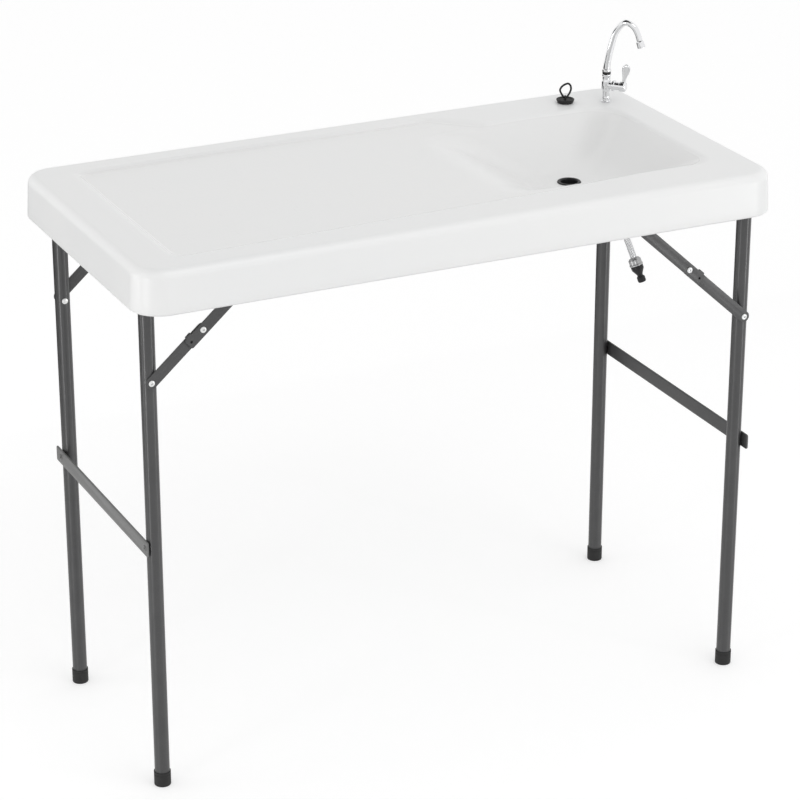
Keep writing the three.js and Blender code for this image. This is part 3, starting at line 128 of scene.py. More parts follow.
# Legs and braces
TUBE_WALL = 0.0014
FOOT_EDGE = 0.002
FOOT_GROOVE = 0.0005
FOOT_GROOVE_HEIGHT_SHARE = 0.78
BRACE_HALF_WIDTH = 0.01
LINK_TAIL = 0.034
LINK_CORNER = 0.0035
LINK_END_STEPS = 16
LINK_CORNER_STEPS = 6
UPPER_LINK_THICKNESS = 0.002
RIVET_HOLE = 0.003
DIMPLE_RADIUS = 0.0022
DIMPLE_FROM_ELBOW = 0.027
STOP_TAB_START = 0.018
STOP_TAB_LENGTH = 0.011
STOP_TAB_THICKNESS = 0.002
STOP_TAB_CORNER = 0.0006
SHOULDER_INTO_STRIP = 0.003
SHOULDER_PAST_STRIP = 0.002
PLATE_BEVEL = 0.0005
RIVET_SHANK_RADIUS = 0.0027
RIVET_HEAD_RADIUS = 0.0052
RIVET_HEAD_HEIGHT = 0.0015
RIVET_HOLLOW_RADIUS = 0.0019
RIVET_HOLLOW_DEPTH = 0.001
RIVET_EDGE_SHARE = 0.45
RIVET_CROWN_SHARE = 0.66
RIVET_HOLLOW_FLOOR_SHARE = 0.85
RIVET_INNER_FACE_SHARE = 0.7
RIVET_INNER_EDGE_SHARE = 0.6
RIVET_COLLAR_RADIUS = 0.006
RIVET_COLLAR_HEIGHT = 0.0014
RIVET_COLLAR_BELOW_SEAT = 0.0026
RIVET_LEAST_ROOT = 0.0005
CROSSBAR_CORNER = 0.004
CROSSBAR_BEVEL = 0.0008

# Faucet
FAUCET_TURN = math.radians(-48)
SHANK_RADIUS = 0.0058
BASE_RADIUS = 0.0074
BASE_STEP = 0.001
BASE_HEIGHT = 0.007
FAUCET_HOLE_RADIUS = 0.0065
COLUMN_RADIUS = 0.008
WAIST_RADIUS = 0.0068
COLUMN_HEIGHT = 0.052
SHANK_LENGTH = 0.047
BARREL_HEIGHT = 0.0315
BARREL_RADIUS = 0.0075
BARREL_REACH = 0.025
BARREL_RING_RADIUS = 0.01
BARREL_RING_START = 0.012
BARREL_RING_WIDTH = 0.004
LEVER_HUB_RADIUS = 0.0095
LEVER_HUB_LENGTH = 0.012
LEVER_HUB_LIP = 0.0025
LEVER_HUB_FACE_SHARE = 0.72
LEVER_ROOT_HALF = 0.0032
LEVER_TIP_HALF = 0.0075
LEVER_HEIGHT = 0.042
LEVER_THICKNESS = 0.0045
LEVER_ROWS = 40
LEVER_SIDES = 28
LEVER_LEAN = 0.007
LEVER_SWELL_START_SHARE = 0.28
LEVER_SWELL_LENGTH_SHARE = 0.5
LEVER_TIP_THICKNESS_SHARE = 0.75
LEVER_LEAST_TIP_SHARE = 0.02
LEVER_LAST_ROW_SHARE = 0.998
LEVER_FLATNESS = 0.7
SPOUT_ROOT = 0.06
SPOUT_REACH = 0.06
SPOUT_RISE = 0.09
SPOUT_RADIUS = 0.0062
SPOUT_TIP_RADIUS = 0.005
SPOUT_STEP = 0.0018
SPOUT_SIDES = 48
SPOUT_COLLAR_STEP = 0.0016
SPOUT_COLLAR_EDGE = 0.0008
SPOUT_COLLAR_HEIGHT = 0.005
AERATOR_RADIUS = 0.0068
AERATOR_LENGTH = 0.013
AERATOR_EDGE = 0.001
SPOUT_PATH_SHARES = [
    (0, 0), (0.015, 0.14), (0.055, 0.3), (0.135, 0.54), (0.27, 0.81),
    (0.55, 1), (0.8, 0.93), (0.93, 0.8), (1, 0.66),
]

# Hose, from the lower face of its top nut to its end nut
HOSE_RADIUS = 0.0058
HOSE_ROUTE = [
    (0, 0, 0), (0, 0, -0.011), (0, -0.0002, -0.0235), (0.0006, -0.001, -0.0393),
    (0.002, -0.0028, -0.0569), (0.004, -0.0054, -0.0745), (0.0066, -0.0088, -0.0921),
    (0.0096, -0.0128, -0.1097), (0.013, -0.0174, -0.1273), (0.0168, -0.0224, -0.1449),
    (0.0208, -0.0278, -0.1625), (0.025, -0.0336, -0.1801), (0.0294, -0.0396, -0.1977),
    (0.0339, -0.0458, -0.2153), (0.0384, -0.052, -0.2329),
]
BRAID_CARRIERS = 8
BRAID_PITCH = 0.03
BRAID_DEPTH = 0.0004
HOSE_STEP = 0.0008
HOSE_SIDES = 64
END_NUT_RADIUS = 0.0125
END_NUT_HEIGHT = 0.015
END_NUT_EDGE = 0.0012
END_NUT_SIDES = 72
KNURLS = 18
KNURL_HEIGHT_SHARE = 0.05
KNURL_SHARPNESS = 3
KNURL_BAND = 0.0003
ADAPTER_TOP_RADIUS = 0.0115
ADAPTER_LENGTH = 0.032
ADAPTER_PROFILE_SHARES = [
    (0, 0), (1, 0), (1, 0.22), (0.66, 0.42), (0.46, 0.55), (0.46, 0.62),
    (0.66, 0.68), (0.66, 0.94), (0.56, 1), (0, 1),
]

# Plug and its ring
PLUG_TURN = math.radians(-20)
PLUG_TOP_RADIUS = 0.0162
PLUG_BOTTOM_RADIUS = 0.014
PLUG_HEIGHT = 0.007
PLUG_DISH = 0.0015
LUG_HEIGHT = 0.008
LUG_HALF = 0.0044
LUG_THICKNESS = 0.0026
LUG_EYE_RADIUS = 0.0023
RING_WIRE_RADIUS = 0.0018
RING_HEIGHT = 0.026
RING_WIDTH = 0.02
RING_STEP = 0.001
RING_SIDES = 16
LUG_ARC_STEPS = 14
RING_OUTLINE_SHARES = [
    (0, 0), (0.2, 0.008), (0.42, 0.12), (0.8, 0.36), (1, 0.62), (0.88, 0.86), (0.5, 1),
    (-0.1, 0.95), (-0.7, 0.78), (-0.98, 0.56), (-0.75, 0.31), (-0.4, 0.1), (-0.2, 0.008),
]

# Drain
DRAIN_BORE_RADIUS = 0.015
DRAIN_TAIL_RADIUS = 0.018
DRAIN_FLANGE_RADIUS = 0.021
DRAIN_FLANGE_THICKNESS = 0.0018
DRAIN_LIP_EDGE = 0.0009

# Studio: the floor, and the strength of the world's light from each side
FLOOR_HALF = 30
FLOOR_TONE = 0.6
FLOOR_GLOW = 0.46
LIGHT_FROM_TOP = 0.77
LIGHT_FROM_FRONT = 1.18
LIGHT_FROM_BACK = 0.8
LIGHT_FROM_LEFT = 0.6
LIGHT_FROM_RIGHT = 1.0

# Lamps: name, place, what they point at, size and power
LAMPS = [
    ("key_lamp", (0.6, -2.4, 4.0), (0, 0, 0.9), (2.0, 1.2), 16),
    ("left_lamp", (-2.9, -1.3, 0.45), (0, 0, 0.5), (0.35, 0.8), 12),
    ("left_back_lamp", (-3.0, 0.9, 0.5), (0, 0, 0.6), (1.6, 0.8), 16),
    ("front_lamp", (2.2, -2.5, 0.45), (0, 0, 0.5), (0.24, 0.8), 12),
]

# Dark cards that chrome and tubes mirror: name, place, what they face and size
DARK_CARDS = [
    ("back_card", (0.4, 1.3, 0.36), (0.4, 0, 0.36), (3.4, 0.72)),
    ("left_back_card", (-1.6, 0.85, 0.36), (0.4, 0.2, 0.36), (1.5, 0.72)),
    ("left_card", (-3.4, 2.1, 1.2), (0.5, 0.2, 1.2), (2.6, 1.5)),
    ("high_card", (-0.8, 0.1, 2.6), (-0.8, 0.1, 0), (3.2, 2.2)),
    ("front_card", (-0.9, -2.7, 3.5), (0.5, 0.2, 1.0), (3.0, 0.6)),
]
CARD_TONE = 0.004

# The darker and the lighter tint that each finish varies between
TINTS = {
    "plastic_clean": ((0.82, 0.826, 0.826), (0.84, 0.84, 0.835)),
    "plastic_greyer": ((0.797, 0.802, 0.8), (0.812, 0.81, 0.804)),
    "powder_coat": ((0.062, 0.062, 0.063), (0.085, 0.085, 0.086)),
    "tube_coat": ((0.036, 0.036, 0.037), (0.052, 0.052, 0.053)),
    # The same powder coat painted lighter, as painted light on the left crossbar, which the light from the
    # left reaches
    "light_coat": ((0.13, 0.13, 0.13), (0.17, 0.17, 0.168)),
    "zinc": ((0.7, 0.71, 0.72), (0.82, 0.82, 0.8)),
    "dull_zinc": ((0.3, 0.305, 0.31), (0.46, 0.46, 0.455)),
    "chrome": ((0.78, 0.79, 0.8), (0.84, 0.84, 0.85)),
    "black_rubber": ((0.013, 0.013, 0.013), (0.03, 0.03, 0.03)),
    "black_plastic": ((0.01, 0.01, 0.011), (0.022, 0.022, 0.023)),
    "black_wire": ((0.01, 0.01, 0.011), (0.022, 0.022, 0.023)),
    "braided_steel": ((0.62, 0.63, 0.64), (0.82, 0.82, 0.82)),
}
KNIFE_MARK_TINT = (0.76, 0.76, 0.755)
ZINC_SCRATCH_TINT = (0.5, 0.5, 0.5)
# Painted shade for the gaps between the braid's strands
BRAID_GAP_PAINTED_SHADE = (0.1, 0.1, 0.11)
SPECK_BRIGHTNESS = 2.2
WEAR_BRIGHTNESS = 1.8
WORK_SURFACE_GLOSS = 0.13

# Blacks: plain colour and roughness, scales of grain and blotches, roughness band, relief, specular level
BLACKS = {
    "black_rubber": ((0.02, 0.02, 0.02), 0.7, (1500, 70), (0.5, 0.72), 0.00015, 0.3),
    "black_plastic": ((0.014, 0.014, 0.015), 0.3, (1100, 80), (0.3, 0.42), 0.00006, 0.25),
    "black_wire": ((0.014, 0.014, 0.015), 0.25, (1100, 80), (0.25, 0.37), 0.00006, 0.25),
}

# Masks: the bands of noise that they spread over 0 to 1, and the shares in which they count
BLOTCH_BAND = (0.15, 0.85)
SPECK_BAND = (0.62, 0.74)
SCRATCH_BAND = (0.66, 0.72)
BRAID_GAP_BAND = (0.75, 0.5)
FINE_GRAIN_SHARE = 0.6
COARSE_GRAIN_SHARE = 0.4
COARSE_GRAIN_SCALE = 0.3
SCRATCH_STRETCHES = [(1, 24, 24), (22, 1.6, 22)]
MARKS_OFF_WORK_SURFACE = 0.25
SPECK_SHARE = 0.5

# Mesh fineness and shading
ROUND_SIDES = 64
SMALL_SIDES = 40
FILLET_STEPS = 4
HOLE_SIDES = 24
ROUTE_SHARES = 40
BEVEL_STEPS = 2
FILLET_REACH_SHARE = 0.45
TINY = 1e-6
HAIR_FILLET = 0.0005
THIN_FILLET = 0.0006
SMALL_FILLET = 0.0008
MEDIUM_FILLET = 0.0009
LARGE_FILLET = 0.0012
BROAD_FILLET = 0.0016
KEPT_EDGE_BEVEL = 0.0004
WELD_DISTANCE = 0.00001
SHARP_ANGLE = math.radians(32)


def lerp(start, end, share):
    return start + (end - start) * share


# Meshes

def centre_of(node):
    low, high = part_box(node)
    return (low + high) / 2


class Top:
    """Places of the top's features, from the box of its CAD solid."""
    low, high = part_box("tabletop")
    end, side, rim, skirt = high.x, high.y, high.z, low.z
    drain = centre_of("drain_flange")
    faucet = centre_of("faucet_base")
    deck_under = high.z - DECK_THICKNESS
    basin_right = high.x - BASIN_FROM_RIGHT
    basin_left = high.x - BASIN_FROM_RIGHT - BASIN_LENGTH
    basin_front = -high.y + BASIN_FROM_FRONT
    basin_back = high.y - BASIN_FROM_BACK
    recess_left = -high.x + RECESS_FROM_LEFT
    recess_bend = high.x - RECESS_BEND_FROM_RIGHT
    flat_inset = SKIRT_DRAFT + TOP_EDGE_RADIUS


def mesh_of(verts, faces):
    mesh = bpy.data.meshes.new("shape")
    mesh.from_pydata([tuple(v) for v in verts], [], [tuple(f) for f in faces])
    return mesh


def add_object(name, data):
    thing = bpy.data.objects.new(name, data)
    bpy.context.scene.collection.objects.link(thing)
    return thing


def add_piece(name, mesh, finish, *nodes):
    """A piece of one finish that stands for its CAD nodes and rides on the first one's body."""
    mesh.name = name
    mesh.materials.clear()
    mesh.materials.append(finishes[finish])
    mesh.polygons.foreach_set("use_smooth", [True] * len(mesh.polygons))
    mesh.set_sharp_from_angle(angle=SHARP_ANGLE)
    piece = add_object(name, mesh)
    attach(piece, BODY_OF[nodes[0]])
    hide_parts(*nodes)
    return piece


def filleted(profile, radius):
    """A profile of (radius, height) points whose inner corners are rounded."""
    points = [profile[0]]
    for before, corner, after in zip(profile, profile[1:], profile[2:]):
        corner, before, after = Vector(corner), Vector(before), Vector(after)
        to_before, to_after = before - corner, after - corner
        reach = min(radius, to_before.length * FILLET_REACH_SHARE, to_after.length * FILLET_REACH_SHARE)
        if reach < TINY:
            points.append(tuple(corner))
            continue
        start = corner + to_before.normalized() * reach
        end = corner + to_after.normalized() * reach
        for k in range(FILLET_STEPS + 1):
            share = k / FILLET_STEPS
            points.append(tuple(start.lerp(corner, share).lerp(corner.lerp(end, share), share)))
    points.append(profile[-1])
    return points


def turned(profile, sides, closed=False):
    """A body turned about Z from (radius, height) points; a closed profile has no ends on the axis."""
    verts, rows, faces = [], [], []
    for radius, height in profile:
        if radius < TINY:
            rows.append([len(verts)])
            verts.append((0, 0, height))
            continue
        rows.append(range(len(verts), len(verts) + sides))
        for k in range(sides):
            angle = 2 * math.pi * k / sides
            verts.append((radius * math.cos(angle), radius * math.sin(angle), height))
    pairs = list(zip(rows, rows[1:]))
    if closed:
        pairs.append((rows[-1], rows[0]))
    for lower, upper in pairs:
        for k in range(sides):
            j = (k + 1) % sides
            if len(lower) == 1:
                faces.append((lower[0], upper[j], upper[k]))
            elif len(upper) == 1:
                faces.append((lower[k], lower[j], upper[0]))
            else:
                faces.append((lower[k], lower[j], upper[j], upper[k]))
    return outward(mesh_of(verts, faces))


def lathed(points, fillet, sides=ROUND_SIDES):
    """A turned body whose profile's corners are rounded."""
    return turned(filleted(points, fillet), sides)


def outward(mesh):
    shape = bmesh.new()
    shape.from_mesh(mesh)
    bmesh.ops.recalc_face_normals(shape, faces=shape.faces)
    shape.to_mesh(mesh)
    shape.free()
    return mesh


def moved(mesh, matrix):
    mesh.transform(matrix)
    return mesh if matrix.determinant() > 0 else outward(mesh)


def joined(*meshes):
    shape = bmesh.new()
    for mesh in meshes:
        shape.from_mesh(mesh)
    return made(shape)


def made(shape):
    """A mesh from a worked shape, which is freed."""
    mesh = bpy.data.meshes.new("shape")
    shape.to_mesh(mesh)
    shape.free()
    return mesh


def united(*meshes):
    """The boolean union of closed meshes."""
    bodies = [add_object("body", mesh) for mesh in meshes]
    for other in bodies[1:]:
        union = bodies[0].modifiers.new("union", "BOOLEAN")
        union.operation = "UNION"
        union.solver = "EXACT"
        union.object = other
    graph = bpy.context.evaluated_depsgraph_get()
    result = bpy.data.meshes.new_from_object(bodies[0].evaluated_get(graph))
    for body in bodies:
        bpy.data.objects.remove(body)
    return result


def plate(outline, holes, thickness, bevel=PLATE_BEVEL):
    """A flat plate with rounded edges in the X Y plane, from height zero up."""
    curve = bpy.data.curves.new("outline", "CURVE")
    curve.dimensions = "2D"
    curve.fill_mode = "BOTH"
    curve.extrude = thickness / 2 - bevel
    curve.bevel_depth = bevel
    curve.bevel_resolution = BEVEL_STEPS
    curve.offset = -bevel
    for points in [outline, *holes]:
        spline = curve.splines.new("POLY")
        spline.points.add(len(points) - 1)
        for target, (x, y) in zip(spline.points, points):
            target.co = (x, y, 0, 1)
        spline.use_cyclic_u = True
    body = add_object("outline", curve)
    graph = bpy.context.evaluated_depsgraph_get()
    mesh = bpy.data.meshes.new_from_object(body.evaluated_get(graph))
    bpy.data.objects.remove(body)
    shape = bmesh.new()
    shape.from_mesh(mesh)
    bmesh.ops.remove_doubles(shape, verts=shape.verts, dist=TINY)
    bmesh.ops.recalc_face_normals(shape, faces=shape.faces)
    shape.to_mesh(mesh)
    shape.free()
    mesh.transform(Matrix.Translation((0, 0, thickness / 2)))
    return mesh


def arc(x, y, radius, start, end, steps):
    angles = [lerp(start, end, k / steps) for k in range(steps + 1)]
    return [(x + radius * math.cos(a), y + radius * math.sin(a)) for a in angles]


def circle(x, y, radius, sides=HOLE_SIDES):
    return arc(x, y, radius, 0, 2 * math.pi, sides)[:-1]


def smooth_route(points, step, closed=False):
    """Points a step apart on a smooth curve through the given ones."""
    count = len(points)
    ends = points if closed else [2 * points[0] - points[1], *points, 2 * points[-1] - points[-2]]
    dense = []
    spans = count if closed else count - 1
    for i in range(spans):
        if closed:
            a, b, c, d = (points[(i + k - 1) % count] for k in range(4))
        else:
            a, b, c, d = ends[i:i + 4]
        knots = [0.0]
        for start, end in ((a, b), (b, c), (c, d)):
            knots.append(knots[-1] + math.sqrt((end - start).length))
        for k in range(ROUTE_SHARES):
            t = lerp(knots[1], knots[2], k / ROUTE_SHARES)
            dense.append(between_knots(a, b, c, d, knots, t))
    dense.append(dense[0].copy() if closed else points[-1].copy())
    travelled = np.cumsum([0.0] + [(q - p).length for p, q in zip(dense, dense[1:])])
    steps = max(2, round(travelled[-1] / step))
    wanted = np.linspace(0, travelled[-1], steps + 1)
    places = [np.interp(wanted, travelled, [p[axis] for p in dense]) for axis in range(3)]
    route = [Vector(place) for place in zip(*places)]
    return route[:-1] if closed else route


def between_knots(a, b, c, d, knots, t):
    """A point between b and c on the smooth curve through four points."""
    def blend(p, q, start, end):
        return p + (q - p) * ((t - start) / (end - start))
    low = blend(a, b, knots[0], knots[1])
    middle = blend(b, c, knots[1], knots[2])
    high = blend(c, d, knots[2], knots[3])
    first = blend(low, middle, knots[0], knots[2])
    second = blend(middle, high, knots[1], knots[3])
    return blend(first, second, knots[1], knots[2])


def end_matrix(route):
    """The place of a route's last point, with Z on along the route."""
    down = (route[-1] - route[-2]).normalized()
    return Matrix.Translation(route[-1]) @ down.to_track_quat("Z", "Y").to_matrix().to_4x4()


def ring_faces(count, sides, closed=False):
    """The faces between rings of points, with end caps unless the last ring meets the first."""
    faces = []
    for i in range(count if closed else count - 1):
        near, far = i * sides, ((i + 1) % count) * sides
        for k in range(sides):
            j = (k + 1) % sides
            faces.append((near + k, near + j, far + j, far + k))
    if not closed:
        faces.append(tuple(reversed(range(sides))))
        faces.append(tuple(range((count - 1) * sides, count * sides)))
    return faces


def swept(route, radius_at, sides, closed=False):
    """A round tube along a route, by radius_at(share, angle). Its UV map runs round and along."""
    count = len(route)
    verts, normal = [], None
    travelled = np.cumsum([0.0] + [(q - p).length for p, q in zip(route, route[1:])])
    for i, point in enumerate(route):
        if closed:
            tangent = (route[(i + 1) % count] - route[i - 1]).normalized()
        else:
            tangent = (route[min(i + 1, count - 1)] - route[max(i - 1, 0)]).normalized()
        if normal is None:
            normal = tangent.orthogonal()
        normal = (normal - tangent * normal.dot(tangent)).normalized()
        across = tangent.cross(normal)
        for k in range(sides):
            angle = 2 * math.pi * k / sides
            radius = radius_at(travelled[i] / travelled[-1], angle)
            verts.append(point + (normal * math.cos(angle) + across * math.sin(angle)) * radius)
    mesh = mesh_of(verts, ring_faces(count, sides, closed))
    uv = mesh.uv_layers.new(name="route")
    for polygon in mesh.polygons:
        sides_of_face = [mesh.loops[loop].vertex_index for loop in polygon.loop_indices]
        wraps = max(v % sides for v in sides_of_face) - min(v % sides for v in sides_of_face) > sides / 2
        for loop, vertex in zip(polygon.loop_indices, sides_of_face):
            around = vertex % sides
            around = around + sides if wraps and around < sides / 2 else around
            uv.data[loop].uv = (around / sides, travelled[vertex // sides])
    return mesh


# Finishes

def node_group(name, inputs, outputs):
    group = bpy.data.node_groups.new(name, "ShaderNodeTree")
    for label, value in inputs:
        socket = group.interface.new_socket(label, in_out="INPUT", socket_type="NodeSocketFloat")
        socket.default_value = value
    for label in outputs:
        group.interface.new_socket(label, in_out="OUTPUT", socket_type="NodeSocketFloat")
    return group, group.nodes.new("NodeGroupInput").outputs, group.nodes.new("NodeGroupOutput").inputs


def feed(tree, value, socket):
    """Links a node's value to a socket, or sets a constant there."""
    if isinstance(value, bpy.types.NodeSocket):
        tree.links.new(value, socket)
    else:
        socket.default_value = value


def math_node(tree, operation, first, second=None, clamp=False):
    node = tree.nodes.new("ShaderNodeMath")
    node.operation = operation
    node.use_clamp = clamp
    for socket, value in zip(node.inputs, (first, second)):
        if value is not None:
            feed(tree, value, socket)
    return node.outputs[0]


def times(tree, first, second, clamp=False):
    return math_node(tree, "MULTIPLY", first, second, clamp)


def noise_node(tree, place, scale, detail, stretch=(1, 1, 1)):
    """Noise in the piece's own space. The scale counts its cells in a metre."""
    mapping = tree.nodes.new("ShaderNodeMapping")
    mapping.inputs["Scale"].default_value = stretch
    tree.links.new(place, mapping.inputs["Vector"])
    noise = tree.nodes.new("ShaderNodeTexNoise")
    noise.inputs["Detail"].default_value = detail
    feed(tree, scale, noise.inputs["Scale"])
    tree.links.new(mapping.outputs[0], noise.inputs["Vector"])
    return noise.outputs[0]


def ranged(tree, value, low, high, start=0.0, end=1.0):
    node = tree.nodes.new("ShaderNodeMapRange")
    labels = ("Value", "From Min", "From Max", "To Min", "To Max")
    for label, given in zip(labels, (value, low, high, start, end)):
        feed(tree, given, node.inputs[label])
    return node.outputs[0]


def piece_space(tree):
    return tree.nodes.new("ShaderNodeTexCoord").outputs["Object"]


def make_grain_group():
    """Moulded or sprayed skin: a fine height, a blotch mask and a speck mask."""
    inputs = [("Grain Scale", 900), ("Blotch Scale", 9)]
    group, given, out = node_group("skin grain", inputs, ["Height", "Blotch", "Speck"])
    place = piece_space(group)
    fine = noise_node(group, place, given["Grain Scale"], 2)
    coarse = noise_node(group, place, times(group, given["Grain Scale"], COARSE_GRAIN_SCALE), 1)
    fine_share = times(group, fine, FINE_GRAIN_SHARE)
    coarse_share = times(group, coarse, COARSE_GRAIN_SHARE)
    blotches = noise_node(group, place, given["Blotch Scale"], 3)
    group.links.new(math_node(group, "ADD", fine_share, coarse_share), out["Height"])
    group.links.new(ranged(group, blotches, *BLOTCH_BAND), out["Blotch"])
    group.links.new(ranged(group, fine, *SPECK_BAND), out["Speck"])
    return group


def make_scratch_group():
    """Long fine scratches in two directions, as a mask."""
    group, given, out = node_group("fine scratches", [("Scratch Scale", 40), ("Amount", 0.5)], ["Mask"])
    place = piece_space(group)
    masks = []
    for stretch in SCRATCH_STRETCHES:
        lines = noise_node(group, place, given["Scratch Scale"], 4, stretch)
        masks.append(ranged(group, lines, *SCRATCH_BAND))
    both = math_node(group, "MAXIMUM", *masks)
    group.links.new(times(group, both, given["Amount"], clamp=True), out["Mask"])
    return group


def wave(tree, phase):
    """The height of a round ridge, one to each whole number of the phase."""
    angle = times(tree, phase, math.pi)
    return math_node(tree, "ABSOLUTE", math_node(tree, "SINE", angle))


def make_braid_group():
    """Crossing strands of a braided sleeve from its UV map, as a height and a gap mask."""
    inputs = [("Carriers", BRAID_CARRIERS), ("Pitch", BRAID_PITCH), ("Wires", 5)]
    group, given, out = node_group("braided strands", inputs, ["Height", "Gap"])
    split = group.nodes.new("ShaderNodeSeparateXYZ")
    uv = group.nodes.new("ShaderNodeUVMap")
    uv.uv_map = "route"
    group.links.new(uv.outputs[0], split.inputs[0])
    around = times(group, split.outputs["X"], given["Carriers"])
    turns = math_node(group, "DIVIDE", split.outputs["Y"], given["Pitch"])
    along = times(group, turns, given["Carriers"])
    ridges, wires = [], []
    for operation in ("ADD", "SUBTRACT"):
        phase = math_node(group, operation, around, along)
        ridges.append(wave(group, phase))
        wires.append(wave(group, times(group, phase, given["Wires"])))
    top = math_node(group, "GREATER_THAN", ridges[0], ridges[1])
    first = times(group, top, wires[0])
    second = times(group, math_node(group, "SUBTRACT", 1.0, top), wires[1])
    group.links.new(math_node(group, "ADD", first, second), out["Height"])
    higher = math_node(group, "MAXIMUM", *ridges)
    group.links.new(ranged(group, higher, *BRAID_GAP_BAND), out["Gap"])
    return group


def finish_of(name, color, roughness, metallic=0.0):
    """A plain finish: its material, its tree and its shader."""
    material = bpy.data.materials.new(name)
    material.use_nodes = True
    tree = material.node_tree
    shader = tree.nodes["Principled BSDF"]
    shader.inputs["Base Color"].default_value = (*color, 1)
    shader.inputs["Roughness"].default_value = roughness
    shader.inputs["Metallic"].default_value = metallic
    return material, tree, shader


def effect(tree, group, **values):
    node = tree.nodes.new("ShaderNodeGroup")
    node.node_tree = group
    for label, value in values.items():
        node.inputs[label.replace("_", " ")].default_value = value
    return node.outputs


def mixed(tree, share, first, second):
    """A colour between two, by a mask."""
    node = tree.nodes.new("ShaderNodeMix")
    node.data_type = "RGBA"
    tree.links.new(share, node.inputs["Factor"])
    for socket, value in ((node.inputs[6], first), (node.inputs[7], second)):
        feed(tree, (*value, 1) if isinstance(value, tuple) else value, socket)
    return node.outputs[2]


def bumped(tree, shader, height, relief):
    """Bumps a finish by a height of 0 to 1, whose relief is in metres."""
    bump = tree.nodes.new("ShaderNodeBump")
    bump.inputs["Distance"].default_value = relief
    tree.links.new(height, bump.inputs["Height"])
    tree.links.new(bump.outputs[0], shader.inputs["Normal"])


def roughened(tree, shader, mask, smooth, rough):
    tree.links.new(ranged(tree, mask, 0, 1, smooth, rough), shader.inputs["Roughness"])


def grained(tree, shader, grain, scales, band, relief):
    """Gives a finish its grain, and from it a roughness within a band and a relief. Returns the masks."""
    skin = effect(tree, grain, Grain_Scale=scales[0], Blotch_Scale=scales[1])
    roughened(tree, shader, skin["Blotch"], *band)
    bumped(tree, shader, skin["Height"], relief)
    return skin


def tinted(tree, mask, name):
    """The tint between a finish's darker and lighter one."""
    return mixed(tree, mask, *TINTS[name])


def brighter(color, factor):
    return tuple(factor * channel for channel in color)


def within(tree, value, low, high, edge):
    """A mask that is 1 between two places on an axis and fades out over an edge."""
    entered = ranged(tree, value, low - edge, low + edge)
    return math_node(tree, "MINIMUM", entered, ranged(tree, value, high + edge, high - edge))


def work_surface_mask(tree):
    """The recess and the basin, where the plastic is tinted greyer, wiped smoother and knife-marked."""
    split = tree.nodes.new("ShaderNodeSeparateXYZ")
    tree.links.new(piece_space(tree), split.inputs[0])
    x, y, z = split.outputs
    lengthwise = within(tree, x, -Top.end + WORK_INSET, Top.end - WORK_INSET, WORK_EDGE)
    crosswise = within(tree, y, -Top.side + WORK_INSET, Top.side - WORK_INSET, WORK_EDGE)
    below = ranged(tree, z, Top.rim, Top.rim - RECESS_DEPTH * WORK_DEPTH_SHARE)
    return math_node(tree, "MINIMUM", math_node(tree, "MINIMUM", lengthwise, crosswise), below)


def make_white_plastic(grain, scratches):
    """White polyethylene with a fine skin, greyer, wiped smooth and knife-marked in the recess and the basin.
    """
    material, tree, shader = finish_of("white_plastic", (0.86, 0.86, 0.85), 0.32)
    skin = effect(tree, grain, Grain_Scale=700, Blotch_Scale=5)
    marks = effect(tree, scratches, Scratch_Scale=22, Amount=0.5)
    work = work_surface_mask(tree)
    clean = tinted(tree, skin["Blotch"], "plastic_clean")
    dulled = tinted(tree, skin["Blotch"], "plastic_greyer")
    cuts = times(tree, marks["Mask"], ranged(tree, work, 0, 1, MARKS_OFF_WORK_SURFACE, 1.0))
    tint = mixed(tree, cuts, mixed(tree, work, clean, dulled), KNIFE_MARK_TINT)
    tree.links.new(tint, shader.inputs["Base Color"])
    wiped = times(tree, work, WORK_SURFACE_GLOSS)
    rough = math_node(tree, "SUBTRACT", ranged(tree, skin["Blotch"], 0, 1, 0.34, 0.42), wiped)
    tree.links.new(rough, shader.inputs["Roughness"])
    bumped(tree, shader, skin["Height"], relief=0.00012)
    return material


def make_coat(name, grain, scratches, satin=(0.36, 0.48)):
    """Powder coat: grey with a fine orange-peel skin, specks and light handling marks."""
    dark, light = TINTS[name]
    material, tree, shader = finish_of(name, dark, 0.4, metallic=0.35)
    skin = grained(tree, shader, grain, (1400, 26), satin, 0.00008)
    marks = effect(tree, scratches, Scratch_Scale=30, Amount=0.35)
    specks = times(tree, skin["Speck"], SPECK_SHARE)
    body = tinted(tree, skin["Blotch"], name)
    specked = mixed(tree, specks, body, brighter(light, SPECK_BRIGHTNESS))
    worn = mixed(tree, marks["Mask"], specked, brighter(light, WEAR_BRIGHTNESS))
    tree.links.new(worn, shader.inputs["Base Color"])
    return material


def make_tube_coat(grain, scratches):
    """The same coat over drawn tube, whose gloss runs along it in narrow stripes."""
    material = make_coat("tube_coat", grain, scratches, satin=(0.27, 0.34))
    shader = material.node_tree.nodes["Principled BSDF"]
    shader.inputs["Specular IOR Level"].default_value = 1.0
    shader.inputs["Anisotropic"].default_value = 0.9
    shader.inputs["Anisotropic Rotation"].default_value = 0.25
    return material


def make_zinc(name, grain, scratches):
    """Zinc plate, mottled and finely scratched."""
    material, tree, shader = finish_of(name, TINTS[name][1], 0.28, metallic=1.0)
    skin = grained(tree, shader, grain, (1800, 60), (0.22, 0.38), 0.00004)
    marks = effect(tree, scratches, Scratch_Scale=90, Amount=0.6)
    tint = mixed(tree, marks["Mask"], tinted(tree, skin["Blotch"], name), ZINC_SCRATCH_TINT)
    tree.links.new(tint, shader.inputs["Base Color"])
    return material


